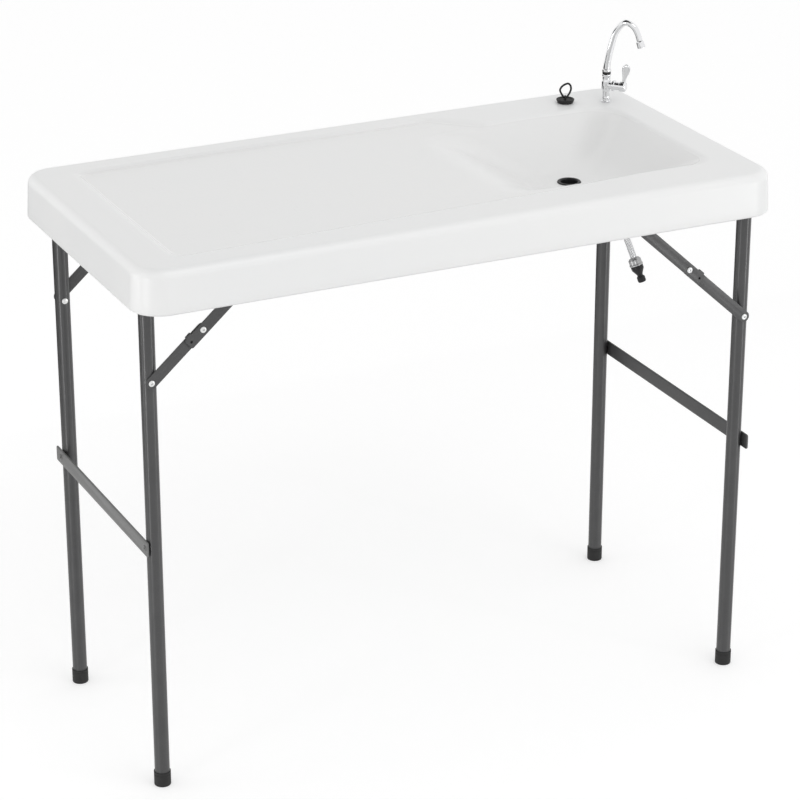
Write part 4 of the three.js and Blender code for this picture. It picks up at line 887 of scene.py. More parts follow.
def make_chrome(grain, scratches):
    """Bright chrome, a little dulled in blotches and by fine scratches."""
    material, tree, shader = finish_of("chrome", (0.8, 0.8, 0.81), 0.06, metallic=1.0)
    skin = effect(tree, grain, Grain_Scale=400, Blotch_Scale=30)
    marks = effect(tree, scratches, Scratch_Scale=60, Amount=0.25)
    rough = math_node(tree, "ADD", ranged(tree, skin["Blotch"], 0, 1, 0.04, 0.1), marks["Mask"])
    tree.links.new(rough, shader.inputs["Roughness"])
    tree.links.new(tinted(tree, skin["Blotch"], "chrome"), shader.inputs["Base Color"])
    return material


def make_black(name, grain):
    """Black rubber or plastic with a fine grain."""
    color, roughness, scales, band, relief, specular = BLACKS[name]
    material, tree, shader = finish_of(name, color, roughness)
    shader.inputs["Specular IOR Level"].default_value = specular
    skin = grained(tree, shader, grain, scales, band, relief)
    tree.links.new(tinted(tree, skin["Blotch"], name), shader.inputs["Base Color"])
    return material


def make_braided_steel(braid, grain):
    """A sleeve of bright wires, with painted shade in the gaps between its strands."""
    material, tree, shader = finish_of("braided_steel", (0.6, 0.61, 0.62), 0.3, metallic=0.9)
    strands = effect(tree, braid)
    skin = effect(tree, grain, Grain_Scale=900, Blotch_Scale=60)
    bright = tinted(tree, skin["Blotch"], "braided_steel")
    # The gaps between the strands are painted dark, as painted shade
    tree.links.new(mixed(tree, strands["Gap"], bright, BRAID_GAP_PAINTED_SHADE), shader.inputs["Base Color"])
    roughened(tree, shader, strands["Gap"], smooth=0.28, rough=0.6)
    bumped(tree, shader, strands["Height"], relief=0.00012)
    return material


def make_finishes():
    grain, scratches, braid = make_grain_group(), make_scratch_group(), make_braid_group()
    return {
        "white_plastic": make_white_plastic(grain, scratches),
        "powder_coat": make_coat("powder_coat", grain, scratches),
        "tube_coat": make_tube_coat(grain, scratches),
        # The left crossbar's coat is the powder coat painted lighter, as painted light
        "light_coat": make_coat("light_coat", grain, scratches),
        "zinc": make_zinc("zinc", grain, scratches),
        "dull_zinc": make_zinc("dull_zinc", grain, scratches),
        "chrome": make_chrome(grain, scratches),
        "black_rubber": make_black("black_rubber", grain),
        "black_plastic": make_black("black_plastic", grain),
        "black_wire": make_black("black_wire", grain),
        "braided_steel": make_braided_steel(braid, grain),
    }


# Camera, floor and light

def place_camera():
    lens = bpy.data.cameras.new("camera")
    lens.sensor_width = SENSOR
    lens.lens = SENSOR * FOCAL_PIXELS / PHOTO_SIZE
    lens.clip_end = 100
    camera = add_object("camera", lens)
    level = Vector((math.sin(CAMERA_AZIMUTH), -math.cos(CAMERA_AZIMUTH), 0)) * math.cos(CAMERA_ELEVATION)
    back = level + Vector((0, 0, math.sin(CAMERA_ELEVATION)))
    turn = (-back).to_track_quat("-Z", "Y")
    pixel = CAMERA_DISTANCE / FOCAL_PIXELS
    half = PHOTO_SIZE / 2
    aside = Vector(((half - AIM_PIXEL[0]) * pixel, (AIM_PIXEL[1] - half) * pixel, CAMERA_DISTANCE))
    camera.location = Vector((0, 0, AIM_HEIGHT)) + turn @ aside
    camera.rotation_mode = "QUATERNION"
    camera.rotation_quaternion = turn
    bpy.context.scene.camera = camera


def seen_directly(tree):
    """1 for rays from the camera and for those that a mirror or glass sends on."""
    path = tree.nodes.new("ShaderNodeLightPath").outputs
    direct = math_node(tree, "ADD", path["Is Camera Ray"], path["Is Glossy Ray"], clamp=True)
    return math_node(tree, "ADD", direct, path["Is Transmission Ray"], clamp=True)


def light_from(tree, side, sign, strength):
    """The share of a studio side's light that reaches the object from a direction."""
    facing = math_node(tree, "MAXIMUM", times(tree, side, sign), 0.0)
    return times(tree, times(tree, facing, facing), strength)


def make_world():
    """A white surround to the eye, whose light is strongest from the front and the top."""
    world = bpy.data.worlds.new("studio")
    world.use_nodes = True
    tree = world.node_tree
    bpy.context.scene.world = world
    background = tree.nodes["Background"]
    split = tree.nodes.new("ShaderNodeSeparateXYZ")
    tree.links.new(tree.nodes.new("ShaderNodeTexCoord").outputs["Generated"], split.inputs[0])
    x, y, z = split.outputs
    light = light_from(tree, z, 1, LIGHT_FROM_TOP)
    for side, sign, strength in (
        (y, -1, LIGHT_FROM_FRONT), (y, 1, LIGHT_FROM_BACK),
        (x, -1, LIGHT_FROM_LEFT), (x, 1, LIGHT_FROM_RIGHT),
    ):
        light = math_node(tree, "ADD", light, light_from(tree, side, sign, strength))
    direct = seen_directly(tree)
    unseen = times(tree, light, math_node(tree, "SUBTRACT", 1.0, direct))
    tree.links.new(math_node(tree, "ADD", unseen, direct), background.inputs["Strength"])
    background.inputs["Color"].default_value = (1, 1, 1, 1)


def panel(across, up):
    """A flat rectangle round the origin, facing up, from its half sizes."""
    corners = [(-across, -up, 0), (across, -up, 0), (across, up, 0), (-across, up, 0)]
    return mesh_of(corners, [(0, 1, 2, 3)])


def make_floor():
    """A pale floor that keeps the soft shadow and otherwise shows white."""
    mesh = panel(FLOOR_HALF, FLOOR_HALF)
    material, tree, shader = finish_of("studio_floor", (FLOOR_TONE,) * 3, 0.9)
    shader.inputs["Emission Color"].default_value = (1, 1, 1, 1)
    glow = times(tree, seen_directly(tree), FLOOR_GLOW)
    tree.links.new(glow, shader.inputs["Emission Strength"])
    mesh.materials.append(material)
    add_object("floor", mesh)


def aimed(thing, place, target):
    thing.location = place
    thing.rotation_mode = "QUATERNION"
    thing.rotation_quaternion = (Vector(target) - Vector(place)).to_track_quat("-Z", "Y")


def add_lamp(name, place, target, size, power):
    light = bpy.data.lights.new(name, "AREA")
    light.shape = "RECTANGLE"
    light.size, light.size_y = size
    light.energy = power
    aimed(add_object(name, light), place, target)


def add_dark_card(name, place, target, size):
    """A dark studio card that only reflections show."""
    mesh = panel(size[0] / 2, size[1] / 2)
    mesh.materials.append(finish_of(name, (CARD_TONE,) * 3, 0.9)[0])
    card = add_object(name, mesh)
    aimed(card, place, target)
    card.visible_camera = False
    card.visible_diffuse = False
    card.visible_shadow = False
    card.visible_transmission = False


def light_studio():
    make_world()
    make_floor()
    for lamp in LAMPS:
        add_lamp(*lamp)
    for card in DARK_CARDS:
        add_dark_card(*card)


# The hose, which hangs from the faucet's shank

def hose_radius(share, angle):
    """The braid's crossing bundles stand a little proud of each other."""
    turns = share * hose_length / BRAID_PITCH * BRAID_CARRIERS * math.pi
    around = angle / 2 * BRAID_CARRIERS
    first, second = abs(math.sin(around + turns)), abs(math.sin(around - turns))
    return HOSE_RADIUS - BRAID_DEPTH * (1 - max(first, second))


def make_end_nut():
    """The knurled end nut with its two rings."""
    waist = END_NUT_RADIUS - END_NUT_EDGE
    mesh = lathed([
        (0, FIT_GAP), (END_NUT_RADIUS - END_NUT_EDGE * 3, FIT_GAP), (waist, END_NUT_EDGE * 3),
        (waist, END_NUT_HEIGHT - END_NUT_EDGE * 3), (END_NUT_RADIUS, END_NUT_HEIGHT - END_NUT_EDGE * 2.5),
        (END_NUT_RADIUS, END_NUT_HEIGHT), (0, END_NUT_HEIGHT),
    ], SMALL_FILLET, END_NUT_SIDES)
    for vertex in mesh.vertices:
        if abs(math.hypot(vertex.co.x, vertex.co.y) - waist) < KNURL_BAND:
            angle = math.atan2(vertex.co.y, vertex.co.x)
            ridge = abs(math.sin(angle * KNURLS / 2)) ** KNURL_SHARPNESS
            vertex.co.x *= 1 + KNURL_HEIGHT_SHARE * ridge
            vertex.co.y *= 1 + KNURL_HEIGHT_SHARE * ridge
    return add_piece("hose_knurled_nut", moved(mesh, end_matrix(hose_route)), "dull_zinc", "hose_end_nut")


def make_adapter():
    start = END_NUT_HEIGHT + FIT_GAP
    outline = [(ADAPTER_TOP_RADIUS * r, start + ADAPTER_LENGTH * h) for r, h in ADAPTER_PROFILE_SHARES]
    mesh = moved(lathed(outline, BROAD_FILLET, SMALL_SIDES), end_matrix(hose_route))
    return add_piece("hose_quick_adapter", mesh, "black_plastic", "hose_adapter")


def make_hose():
    end_nut, adapter = make_end_nut(), make_adapter()
    sleeve = swept(hose_route, hose_radius, HOSE_SIDES)
    hose = add_piece("braided_hose", sleeve, "braided_steel", "hose")


# The moulded top

def smooth_share(value):
    value = np.clip(value, 0, 1)
    return value * value * (3 - 2 * value)


def smooth_minimum(first, second, blend):
    near = np.maximum(blend - np.abs(first - second), 0) / blend
    return np.minimum(first, second) - near * near * blend / 4


def basin_fall(share):
    """Depth of the basin at a share of the way from its lip to its floor."""
    return BASIN_DEPTH * np.sin(math.pi / 2 * share ** BASIN_LIP_SHAPE) ** 2


def ramp_share(share):
    """How far the ramp on the left has come by then: it leaves the recess without a crease."""
    ramped = np.clip((basin_fall(share) - RECESS_DEPTH) / (BASIN_DEPTH - RECESS_DEPTH), 0, 1)
    return (np.arcsin(np.sqrt(ramped)) * 2 / math.pi) ** RAMP_START_SHAPE


def basin_sides(share, grow=0.0):
    """Left, right, front and back of the basin at a share of the way to its floor."""
    left = lerp(Top.basin_left, Top.drain.x - DRAIN_FLOOR_HALF, ramp_share(share)) - grow
    right = lerp(Top.basin_right, Top.drain.x + DRAIN_FLOOR_HALF, share) + grow
    front = lerp(Top.basin_front, Top.drain.y - DRAIN_FLOOR_HALF, share) - grow
    back = lerp(Top.basin_back, Top.drain.y + DRAIN_FLOOR_HALF, share) + grow
    return left, right, front, back


def basin_radii(share, grow=0.0):
    """The radius of three of the basin's corners, and that of its front right one."""
    common = lerp(BASIN_RIM_RADIUS, BASIN_FLOOR_RADIUS, share) + grow
    return common, lerp(BASIN_FRONT_CORNER_RADIUS, BASIN_FLOOR_RADIUS, share) + grow


def basin_depth(x, y):
    low, high = np.zeros_like(x), np.ones_like(x)
    for _ in range(DEPTH_SEARCH_STEPS):
        share = (low + high) / 2
        left, right, front, back = basin_sides(share)
        common, front_right = basin_radii(share)
        middle_x, middle_y = (left + right) / 2, (front + back) / 2
        radius = np.where((x > middle_x) & (y < middle_y), front_right, common)
        across = np.abs(x - middle_x) - ((right - left) / 2 - radius)
        along = np.abs(y - middle_y) - ((back - front) / 2 - radius)
        corner = np.hypot(np.maximum(across, 0), np.maximum(along, 0))
        inside = corner + np.minimum(np.maximum(across, along), 0) < radius
        low = np.where(inside, share, low)
        high = np.where(inside, high, share)
    return np.where(low > 0, basin_fall(low), 0)


def recess_corners():
    """Corners of the recess from its front left one, each with its radius."""
    front_end, back_end = Top.end - RECESS_FRONT_END_FROM_RIGHT, Top.end - RECESS_BACK_END_FROM_RIGHT
    return [
        (Top.recess_left, -Top.side + RECESS_LEFT_FROM_FRONT, RECESS_CORNER_RADIUS),
        (Top.recess_bend, -Top.side + RECESS_BEND_FROM_FRONT, RECESS_BEND_RADIUS),
        (front_end, Top.basin_front, RECESS_CORNER_RADIUS),
        (back_end, Top.basin_back, RECESS_CORNER_RADIUS),
        (Top.recess_bend, Top.side - RECESS_BEND_FROM_BACK, RECESS_BEND_RADIUS),
        (Top.recess_left, Top.side - RECESS_LEFT_FROM_BACK, RECESS_CORNER_RADIUS),
    ]


def recess_depth(x, y):
    """Depth of the recess: it slopes down from each of its sides, some more gently than others."""
    corners = recess_corners()
    shares, turns = [], []
    for k, (x1, y1, _) in enumerate(corners):
        x2, y2, _ = corners[(k + 1) % len(corners)]
        slope = RECESS_SIDE_SLOPES[k]
        distance = ((x2 - x1) * (y - y1) - (y2 - y1) * (x - x1)) / math.hypot(x2 - x1, y2 - y1)
        shares.append(distance / slope)
        turns.append((math.atan2(y2 - y1, x2 - x1), slope))
    inside = np.full_like(x, 1.0)
    for k, (_, _, radius) in enumerate(corners):
        (before, slope), (after, other_slope) = turns[k - 1], turns[k]
        turn = (after - before) % (2 * math.pi)
        blend = radius * math.tan(turn / 2) * math.sin(turn) * 2 / (slope + other_slope)
        inside = np.minimum(inside, smooth_minimum(shares[k - 1], shares[k], blend))
    return RECESS_DEPTH * smooth_share(inside)


def deck_height(x, y):
    """The rim's height less the recess or the basin, with a soft edge where one drops into the other."""
    recess, basin = recess_depth(x, y), basin_depth(x, y)
    edge = smooth_share((x - Top.basin_left - RAMP_WITHOUT_EDGE) / RAMP_EDGE_START)
    blend = BASIN_EDGE_BLEND * np.maximum(edge, BASIN_LEAST_BLEND_SHARE)
    near = np.maximum(1 - np.abs(recess - basin) / blend, 0)
    both = smooth_share(np.minimum(recess, basin) / RECESS_DEPTH)
    return Top.rim - np.maximum(recess, basin) - near * near * blend / 4 * both


def spaced(start, end, step):
    return list(np.linspace(start, end, max(2, round(abs(end - start) / step) + 1)))[:-1]


def deck_columns():
    edge = Top.end - Top.flat_inset
    fine = Top.recess_left + FINE_BAND
    columns = spaced(-edge, Top.recess_left - FINE_STEP, DECK_STEP)
    columns += spaced(Top.recess_left - FINE_STEP, fine, FINE_STEP)
    columns += spaced(fine, Top.basin_left, DECK_STEP)
    columns += spaced(Top.basin_left, edge, BASIN_STEP)
    return np.array(columns + [edge])


def deck_rows(x):
    """Row places at one column: they follow the front and back edges of the recess and the basin."""
    corners = recess_corners()
    front = np.interp(x, [c[0] for c in corners[:3]], [c[1] for c in corners[:3]])
    back = np.interp(x, [c[0] for c in corners[:2:-1]], [c[1] for c in corners[:2:-1]])
    edge = Top.side - Top.flat_inset
    front_foot = front + FRONT_FINE_ROWS * FINE_STEP
    back_foot = back - BACK_FINE_ROWS * FINE_STEP
    places = [-edge, front - FINE_STEP, front_foot, back_foot, back + FINE_STEP, edge]
    counts = [RIM_ROWS, FRONT_FINE_ROWS, DECK_ROWS, BACK_FINE_ROWS, RIM_ROWS]
    spans = zip(places, places[1:], counts)
    return [lerp(start, end, k / count) for start, end, count in spans for k in range(count)] + [edge]


def deck_grid():
    """The deck's points: a grid whose corners are drawn in to the rounded outline."""
    columns = deck_columns()
    rows = np.array([deck_rows(x) for x in columns])
    x = np.repeat(columns[:, None], rows.shape[1], axis=1)
    y = rows
    radius = PLAN_CORNER_RADIUS - Top.flat_inset
    over_x = np.abs(x) - (Top.end - Top.flat_inset - radius)
    over_y = np.abs(y) - (Top.side - Top.flat_inset - radius)
    corner = (over_x > 0) & (over_y > 0)
    pull = np.where(corner, np.maximum(over_x, over_y) / np.maximum(np.hypot(over_x, over_y), TINY), 1)
    x = np.where(corner, np.sign(x) * (np.abs(x) + over_x * (pull - 1)), x)
    y = np.where(corner, np.sign(y) * (np.abs(y) + over_y * (pull - 1)), y)
    return x, y


def straight(start, end, steps):
    """The points that follow the start on a straight line to the end."""
    return [tuple(lerp(a, b, k / steps) for a, b in zip(start, end)) for k in range(1, steps + 1)]


def skirt_profile():
    """(inset, height) from the deck's edge round the skirt to the deck's underside."""
    upper, lower, edge = TOP_EDGE_RADIUS, BOTTOM_EDGE_RADIUS, BOTTOM_EDGE_RADIUS / 2
    shoulder, bottom, foot = Top.rim - upper, Top.skirt + lower, Top.skirt + edge
    quarter = math.pi / 2
    points = arc(SKIRT_DRAFT + upper, shoulder, upper, quarter, 2 * quarter, TOP_EDGE_STEPS)[1:]
    points += straight((SKIRT_DRAFT, shoulder), (0, bottom), SKIRT_STEPS)
    points += arc(lower, bottom, lower, 2 * quarter, 3 * quarter, BOTTOM_EDGE_STEPS)[1:]
    points += arc(SKIRT_WALL - edge, foot, edge, -quarter, 0, INNER_EDGE_STEPS)
    points += straight((SKIRT_WALL, foot), (SKIRT_WALL + SKIRT_DRAFT, Top.deck_under), WALL_STEPS)
    return points


def loop_at(x, y, inset):
    """The boundary points of the deck, set in from the outermost outline."""
    radius = PLAN_CORNER_RADIUS - Top.flat_inset
    core_x = np.clip(x, -(Top.end - PLAN_CORNER_RADIUS), Top.end - PLAN_CORNER_RADIUS)
    core_y = np.clip(y, -(Top.side - PLAN_CORNER_RADIUS), Top.side - PLAN_CORNER_RADIUS)
    reach = (PLAN_CORNER_RADIUS - inset) / radius
    return core_x + (x - core_x) * reach, core_y + (y - core_y) * reach


def rounded_loop(left, right, front, back, radius, steps=CORNER_STEPS, front_right=None):
    """A rectangle with round corners, whose front right one may have its own radius."""
    points = []
    for x, y, start in ((right, front, -90), (right, back, 0), (left, back, 90), (left, front, 180)):
        corner = front_right if front_right and not points else radius
        centre_x = x - math.copysign(corner, x - (left + right) / 2)
        centre_y = y - math.copysign(corner, y - (front + back) / 2)
        points += arc(centre_x, centre_y, corner, math.radians(start), math.radians(start + 90), steps)
    return points


def rounded_bar(length, width, radius):
    """A small rectangle round the origin, with round corners."""
    return rounded_loop(-length / 2, length / 2, -width / 2, width / 2, radius, SMALL_CORNER_STEPS)


def add_loop(shape, points, z):
    return [shape.verts.new((x, y, z)) for x, y in points]


def bridge(shape, lower, upper):
    for k in range(len(lower)):
        j = (k + 1) % len(lower)
        shape.faces.new((lower[k], lower[j], upper[j], upper[k]))


def edged(shape, loop):
    """The edges of a loop, made where they are missing."""
    edges = []
    for a, b in zip(loop, loop[1:] + loop[:1]):
        edge = next((e for e in a.link_edges if e.other_vert(a) == b), None)
        edges.append(shape.edges.new((a, b)) if edge is None else edge)
    return edges


def filled(shape, *loops):
    """Closes the flat space between loops with triangles."""
    edges = [edge for loop in loops for edge in edged(shape, loop)]
    bmesh.ops.triangle_fill(shape, use_beauty=True, edges=edges)


def open_round_hole(shape, faces, centre, radius, height):
    """Cuts the grid round a point of its flat parts, fills it up to a round hole and returns its loop."""
    def near(vertex):
        return math.hypot(vertex.co.x - centre.x, vertex.co.y - centre.y) < radius + HOLE_CLEARANCE
    doomed = [face for face in faces if face.is_valid and any(near(v) for v in face.verts)]
    inner = set(doomed)
    border = [e for face in doomed for e in face.edges if any(f not in inner for f in e.link_faces)]
    bmesh.ops.delete(shape, geom=doomed, context="FACES_ONLY")
    loose = [e for e in shape.edges if not e.link_faces]
    bmesh.ops.delete(shape, geom=loose, context="EDGES")
    hole = add_loop(shape, circle(centre.x, centre.y, radius, SMALL_SIDES), height)
    bmesh.ops.triangle_fill(shape, use_beauty=True, edges=border + edged(shape, hole))
    return hole


def bored(shape, faces, centre, radius, top, bottom):
    """Opens a hole in the deck and lines it down to its lower loop, which it returns."""
    upper = open_round_hole(shape, faces, centre, radius, top)
    lower = add_loop(shape, circle(centre.x, centre.y, radius, SMALL_SIDES), bottom)
    bridge(shape, lower, upper)
    return lower


def add_deck(shape):
    """The deck's faces and the loop of its edge."""
    x, y = deck_grid()
    z = deck_height(x, y)
    last_i, last_j = x.shape[0] - 1, x.shape[1] - 1
    grid = [[shape.verts.new(point) for point in zip(*column)] for column in zip(x, y, z)]
    faces = []
    for near, far in zip(grid, grid[1:]):
        for j in range(last_j):
            faces.append(shape.faces.new((near[j], far[j], far[j + 1], near[j + 1])))
    rim = [grid[i][0] for i in range(last_i)] + [grid[last_i][j] for j in range(last_j)]
    rim += [grid[i][last_j] for i in range(last_i, 0, -1)] + [grid[0][j] for j in range(last_j, 0, -1)]
    return faces, rim


def add_skirt(shape, rim):
    """The skirt from the deck's edge to the underside, whose loop it returns."""
    edge_x, edge_y = np.array([v.co.x for v in rim]), np.array([v.co.y for v in rim])
    loop = rim
    for inset, height in skirt_profile():
        lower = add_loop(shape, zip(*loop_at(edge_x, edge_y, inset)), height)
        bridge(shape, lower, loop)
        loop = lower
    return loop


def add_basin_underside(shape):
    """The basin's outer skin below the deck: its upper and its lowest loop."""
    lip_share = bulge_share(DECK_THICKNESS - BASIN_WALL)
    rings = []
    for k in range(UNDERSIDE_STEPS + 1):
        share = lerp(lip_share, 1, k / UNDERSIDE_STEPS)
        common, front_right = basin_radii(share, BASIN_SKIN)
        outline = rounded_loop(*basin_sides(share, BASIN_SKIN), common, front_right=front_right)
        rings.append(add_loop(shape, outline, Top.rim - basin_fall(share) - BASIN_WALL))
    for upper, lower in zip(rings, rings[1:]):
        bridge(shape, lower, upper)
    return rings[0], rings[-1]


def make_top():
    shape = bmesh.new()
    faces, rim = add_deck(shape)
    under = add_skirt(shape, rim)
    floor = Top.rim - BASIN_DEPTH
    drain = bored(shape, faces, Top.drain, DRAIN_TAIL_RADIUS + FIT_GAP, floor, floor - BASIN_WALL)
    faucet = bored(shape, faces, Top.faucet, FAUCET_HOLE_RADIUS, Top.rim, Top.deck_under)
    lip, lowest = add_basin_underside(shape)
    filled(shape, lowest, drain)
    filled(shape, under, lip, faucet)
    bmesh.ops.recalc_face_normals(shape, faces=shape.faces)
    cradles = [make_cradle(end, side) for end in ("left", "right") for side in ("front", "back")]
    add_piece("moulded_top", joined(made(shape), *cradles), "white_plastic", "tabletop")


def bulge_share(depth):
    """The share of the basin at which its fall reaches a depth."""
    return (math.asin(math.sqrt(depth / BASIN_DEPTH)) * 2 / math.pi) ** (1 / BASIN_LIP_SHAPE)


def make_cradle(end, side):
    """The moulded pad that a pivot tube turns against."""
    tube = centre_of(f"{end}_pivot_tube")
    bracket = centre_of(f"{end}_{side}_pivot_bracket")
    mesh = plate(rounded_bar(CRADLE_DEPTH, CRADLE_WIDTH, CRADLE_CORNER), [], CRADLE_HEIGHT + CRADLE_INTO_DECK)
    return moved(mesh, Matrix.Translation((tube.x, bracket.y, Top.deck_under - CRADLE_HEIGHT)))


# Legs, crossbars and braces

def standing(mesh, node):
    """Moves a turned body onto the upright axis of a node."""
    centre = centre_of(node)
    return moved(mesh, Matrix.Translation((centre.x, centre.y, 0)))


def make_leg(stem):
    node = f"{stem}_leg"
    low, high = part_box(node)
    radius = (high.x - low.x) / 2
    inner, edge = radius - TUBE_WALL, TUBE_WALL / 4
    mesh = turned([
        (inner, low.z + edge), (inner + edge, low.z), (radius - edge, low.z), (radius, low.z + edge),
        (radius, high.z - edge), (radius - edge, high.z), (inner + edge, high.z), (inner, high.z - edge),
    ], ROUND_SIDES, closed=True)
    add_piece(f"{node}_tube", standing(mesh, node), "tube_coat", node)


def make_foot(stem):
    """A rubber cap with a groove round it, in which the tube stands."""
    node = f"{stem}_foot"
    low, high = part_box(node)
    leg_low, leg_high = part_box(f"{stem}_leg")
    radius = (high.x - low.x) / 2
    cup, floor = (leg_high.x - leg_low.x) / 2 + FIT_GAP, leg_low.z - FIT_GAP
    groove = high.z * FOOT_GROOVE_HEIGHT_SHARE
    groove_top = groove + 2 * FOOT_GROOVE
    mesh = lathed([
        (0, 0), (radius, 0), (radius, groove), (radius - FOOT_GROOVE, groove),
        (radius - FOOT_GROOVE, groove_top), (radius, groove_top), (radius, high.z),
        (cup, high.z), (cup, floor), (0, floor),
    ], FOOT_EDGE)
    add_piece(f"{node}_cap", standing(mesh, node), "black_rubber", node)


def make_pivot_tube(frame_name):
    node = f"{frame_name}_pivot_tube"
    low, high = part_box(node)
    radius, half = (high.z - low.z) / 2, (high.y - low.y) / 2
    inner = radius - TUBE_WALL
    mesh = turned([(inner, -half), (radius, -half), (radius, half), (inner, half)], ROUND_SIDES, closed=True)
    turn = Matrix.Translation(centre_of(node)) @ Matrix.Rotation(math.pi / 2, 4, "X")
    add_piece(f"{node}_bar", moved(mesh, turn), "powder_coat", node)


def make_crossbar(frame_name, finish):
    """The flat bar with the two rivet heads that hold it to the legs."""
    node = f"{frame_name}_crossbar"
    low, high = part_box(node)
    outward_side = math.copysign(1, low.x)
    face = min(abs(low.x), abs(high.x))
    thickness = abs(high.x - low.x) - RIVET_HEAD_HEIGHT
    outline = rounded_loop(low.y, high.y, low.z, high.z, CROSSBAR_CORNER)
    turn = Matrix(((0, 0, outward_side, outward_side * face), (1, 0, 0, 0), (0, 1, 0, 0), (0, 0, 0, 1)))
    bodies = [moved(plate(outline, [], thickness, CROSSBAR_BEVEL), turn)]
    for side in ("front", "back"):
        leg = centre_of(f"{frame_name}_{side}_leg")
        head = turned(head_profile(thickness - RIVET_HEAD_HEIGHT, thickness), SMALL_SIDES)
        place = Matrix.Translation((0, leg.y, (low.z + high.z) / 2))
        bodies.append(moved(head, place @ turn))
    add_piece(f"{node}_bar", united(*bodies), finish, node)


def head_profile(root, seat):
    """A domed rivet head with the hollow of its tube."""
    top = seat + RIVET_HEAD_HEIGHT
    return filleted([
        (0, root), (RIVET_HEAD_RADIUS, root), (RIVET_HEAD_RADIUS, lerp(seat, top, RIVET_EDGE_SHARE)),
        (RIVET_HEAD_RADIUS * RIVET_CROWN_SHARE, top), (RIVET_HOLLOW_RADIUS, top),
        (RIVET_HOLLOW_RADIUS * RIVET_HOLLOW_FLOOR_SHARE, seat - RIVET_HOLLOW_DEPTH),
        (0, seat - RIVET_HOLLOW_DEPTH),
    ], HAIR_FILLET)


def link_plate(stem, link, pivot, side):
    """A link's node, its depth, its length between pivots and the matrix from its plate to the table.

    On the plate X runs from the pivot to the elbow, and Z outwards from the leg.
    """
    node = f"{stem}_{link}_link"
    low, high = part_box(node)
    start, end = centre_of(f"{stem}_{pivot}_rivet"), centre_of(f"{stem}_elbow_rivet")
    along = Vector((end.x - start.x, 0, end.z - start.z)).normalized()
    matrix = Matrix((
        (along.x, -along.z, 0, start.x),
        (0, 0, side, side * min(abs(low.y), abs(high.y))),
        (along.z, along.x, 0, start.z),
        (0, 0, 0, 1),
    ))
    return node, high.y - low.y, math.hypot(end.x - start.x, end.z - start.z), matrix


def make_lower_link(stem, side):
    node, depth, length, matrix = link_plate(stem, "lower", "leg", side)
    outline = arc(0, 0, BRACE_HALF_WIDTH, math.pi / 2, 3 * math.pi / 2, LINK_END_STEPS)
    outline += arc(length, 0, BRACE_HALF_WIDTH, -math.pi / 2, math.pi / 2, LINK_END_STEPS)
    mesh = plate(outline, [circle(0, 0, RIVET_HOLE)], depth)
    add_piece(f"{node}_strip", moved(mesh, matrix), "powder_coat", node)


def make_upper_link(stem, side):
    """The outer link: a strip that runs past the elbow, with its stop tab folded over the lower link."""
    node, depth, length, matrix = link_plate(stem, "upper", "anchor", side)
    half, lift = BRACE_HALF_WIDTH, depth - UPPER_LINK_THICKNESS
    corner_x, corner_y = length + LINK_TAIL - LINK_CORNER, half - LINK_CORNER
    outline = arc(0, 0, half, math.pi / 2, 3 * math.pi / 2, LINK_END_STEPS)
    outline += arc(corner_x, -corner_y, LINK_CORNER, -math.pi / 2, 0, LINK_CORNER_STEPS)
    outline += arc(corner_x, corner_y, LINK_CORNER, 0, math.pi / 2, LINK_CORNER_STEPS)
    spots = [(0, RIVET_HOLE), (length, RIVET_HOLE), (length + DIMPLE_FROM_ELBOW, DIMPLE_RADIUS)]
    holes = [circle(x, 0, radius) for x, radius in spots]
    strip = moved(plate(outline, holes, UPPER_LINK_THICKNESS), Matrix.Translation((0, 0, lift)))
    above = math.copysign(1, matrix.translation.x)
    middle = length + STOP_TAB_START + STOP_TAB_LENGTH / 2
    tab = plate(rounded_bar(STOP_TAB_LENGTH, STOP_TAB_THICKNESS, STOP_TAB_CORNER), [], depth)
    tab_side = half + FIT_GAP + STOP_TAB_THICKNESS / 2
    tab = moved(tab, Matrix.Translation((middle, above * tab_side, 0)))
    shoulder = plate(rounded_loop(
        -STOP_TAB_LENGTH / 2, STOP_TAB_LENGTH / 2, -SHOULDER_INTO_STRIP, SHOULDER_PAST_STRIP,
        STOP_TAB_CORNER, SMALL_CORNER_STEPS,
    ), [], UPPER_LINK_THICKNESS)
    flip = Matrix.Diagonal((1, above, 1, 1))
    shoulder = moved(shoulder, Matrix.Translation((middle, above * half, lift)) @ flip)
    add_piece(f"{node}_strip", moved(united(strip, tab, shoulder), matrix), "powder_coat", node)


def make_rivet(node, side, through):
    """A rivet about Y: its outer head, its shank, and the inner head or the collar between the links."""
    low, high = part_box(node)
    seat = high.y - low.y - RIVET_HEAD_HEIGHT
    shank = RIVET_SHANK_RADIUS
    if through:
        profile = [
            (0, 0), (RIVET_HEAD_RADIUS * RIVET_INNER_FACE_SHARE, 0),
            (RIVET_HEAD_RADIUS, RIVET_HEAD_HEIGHT * RIVET_INNER_EDGE_SHARE),
            (RIVET_HEAD_RADIUS, RIVET_HEAD_HEIGHT), (shank, RIVET_HEAD_HEIGHT),
        ]
    else:
        top = seat - RIVET_COLLAR_BELOW_SEAT
        bottom = top - RIVET_COLLAR_HEIGHT
        profile = [(0, 0), (shank, 0), (shank, bottom)] if bottom > RIVET_LEAST_ROOT else [(0, bottom)]
        profile += [(RIVET_COLLAR_RADIUS, bottom), (RIVET_COLLAR_RADIUS, top), (shank, top)]
    profile += [(shank, seat), *head_profile(seat, seat)[1:]]
    centre = centre_of(node)
    root = low.y if side > 0 else high.y
    turn = Matrix.Translation((centre.x, root, centre.z)) @ Matrix.Rotation(-side * math.pi / 2, 4, "X")
    add_piece(f"{node}_pin", moved(turned(profile, SMALL_SIDES), turn), "zinc", node)


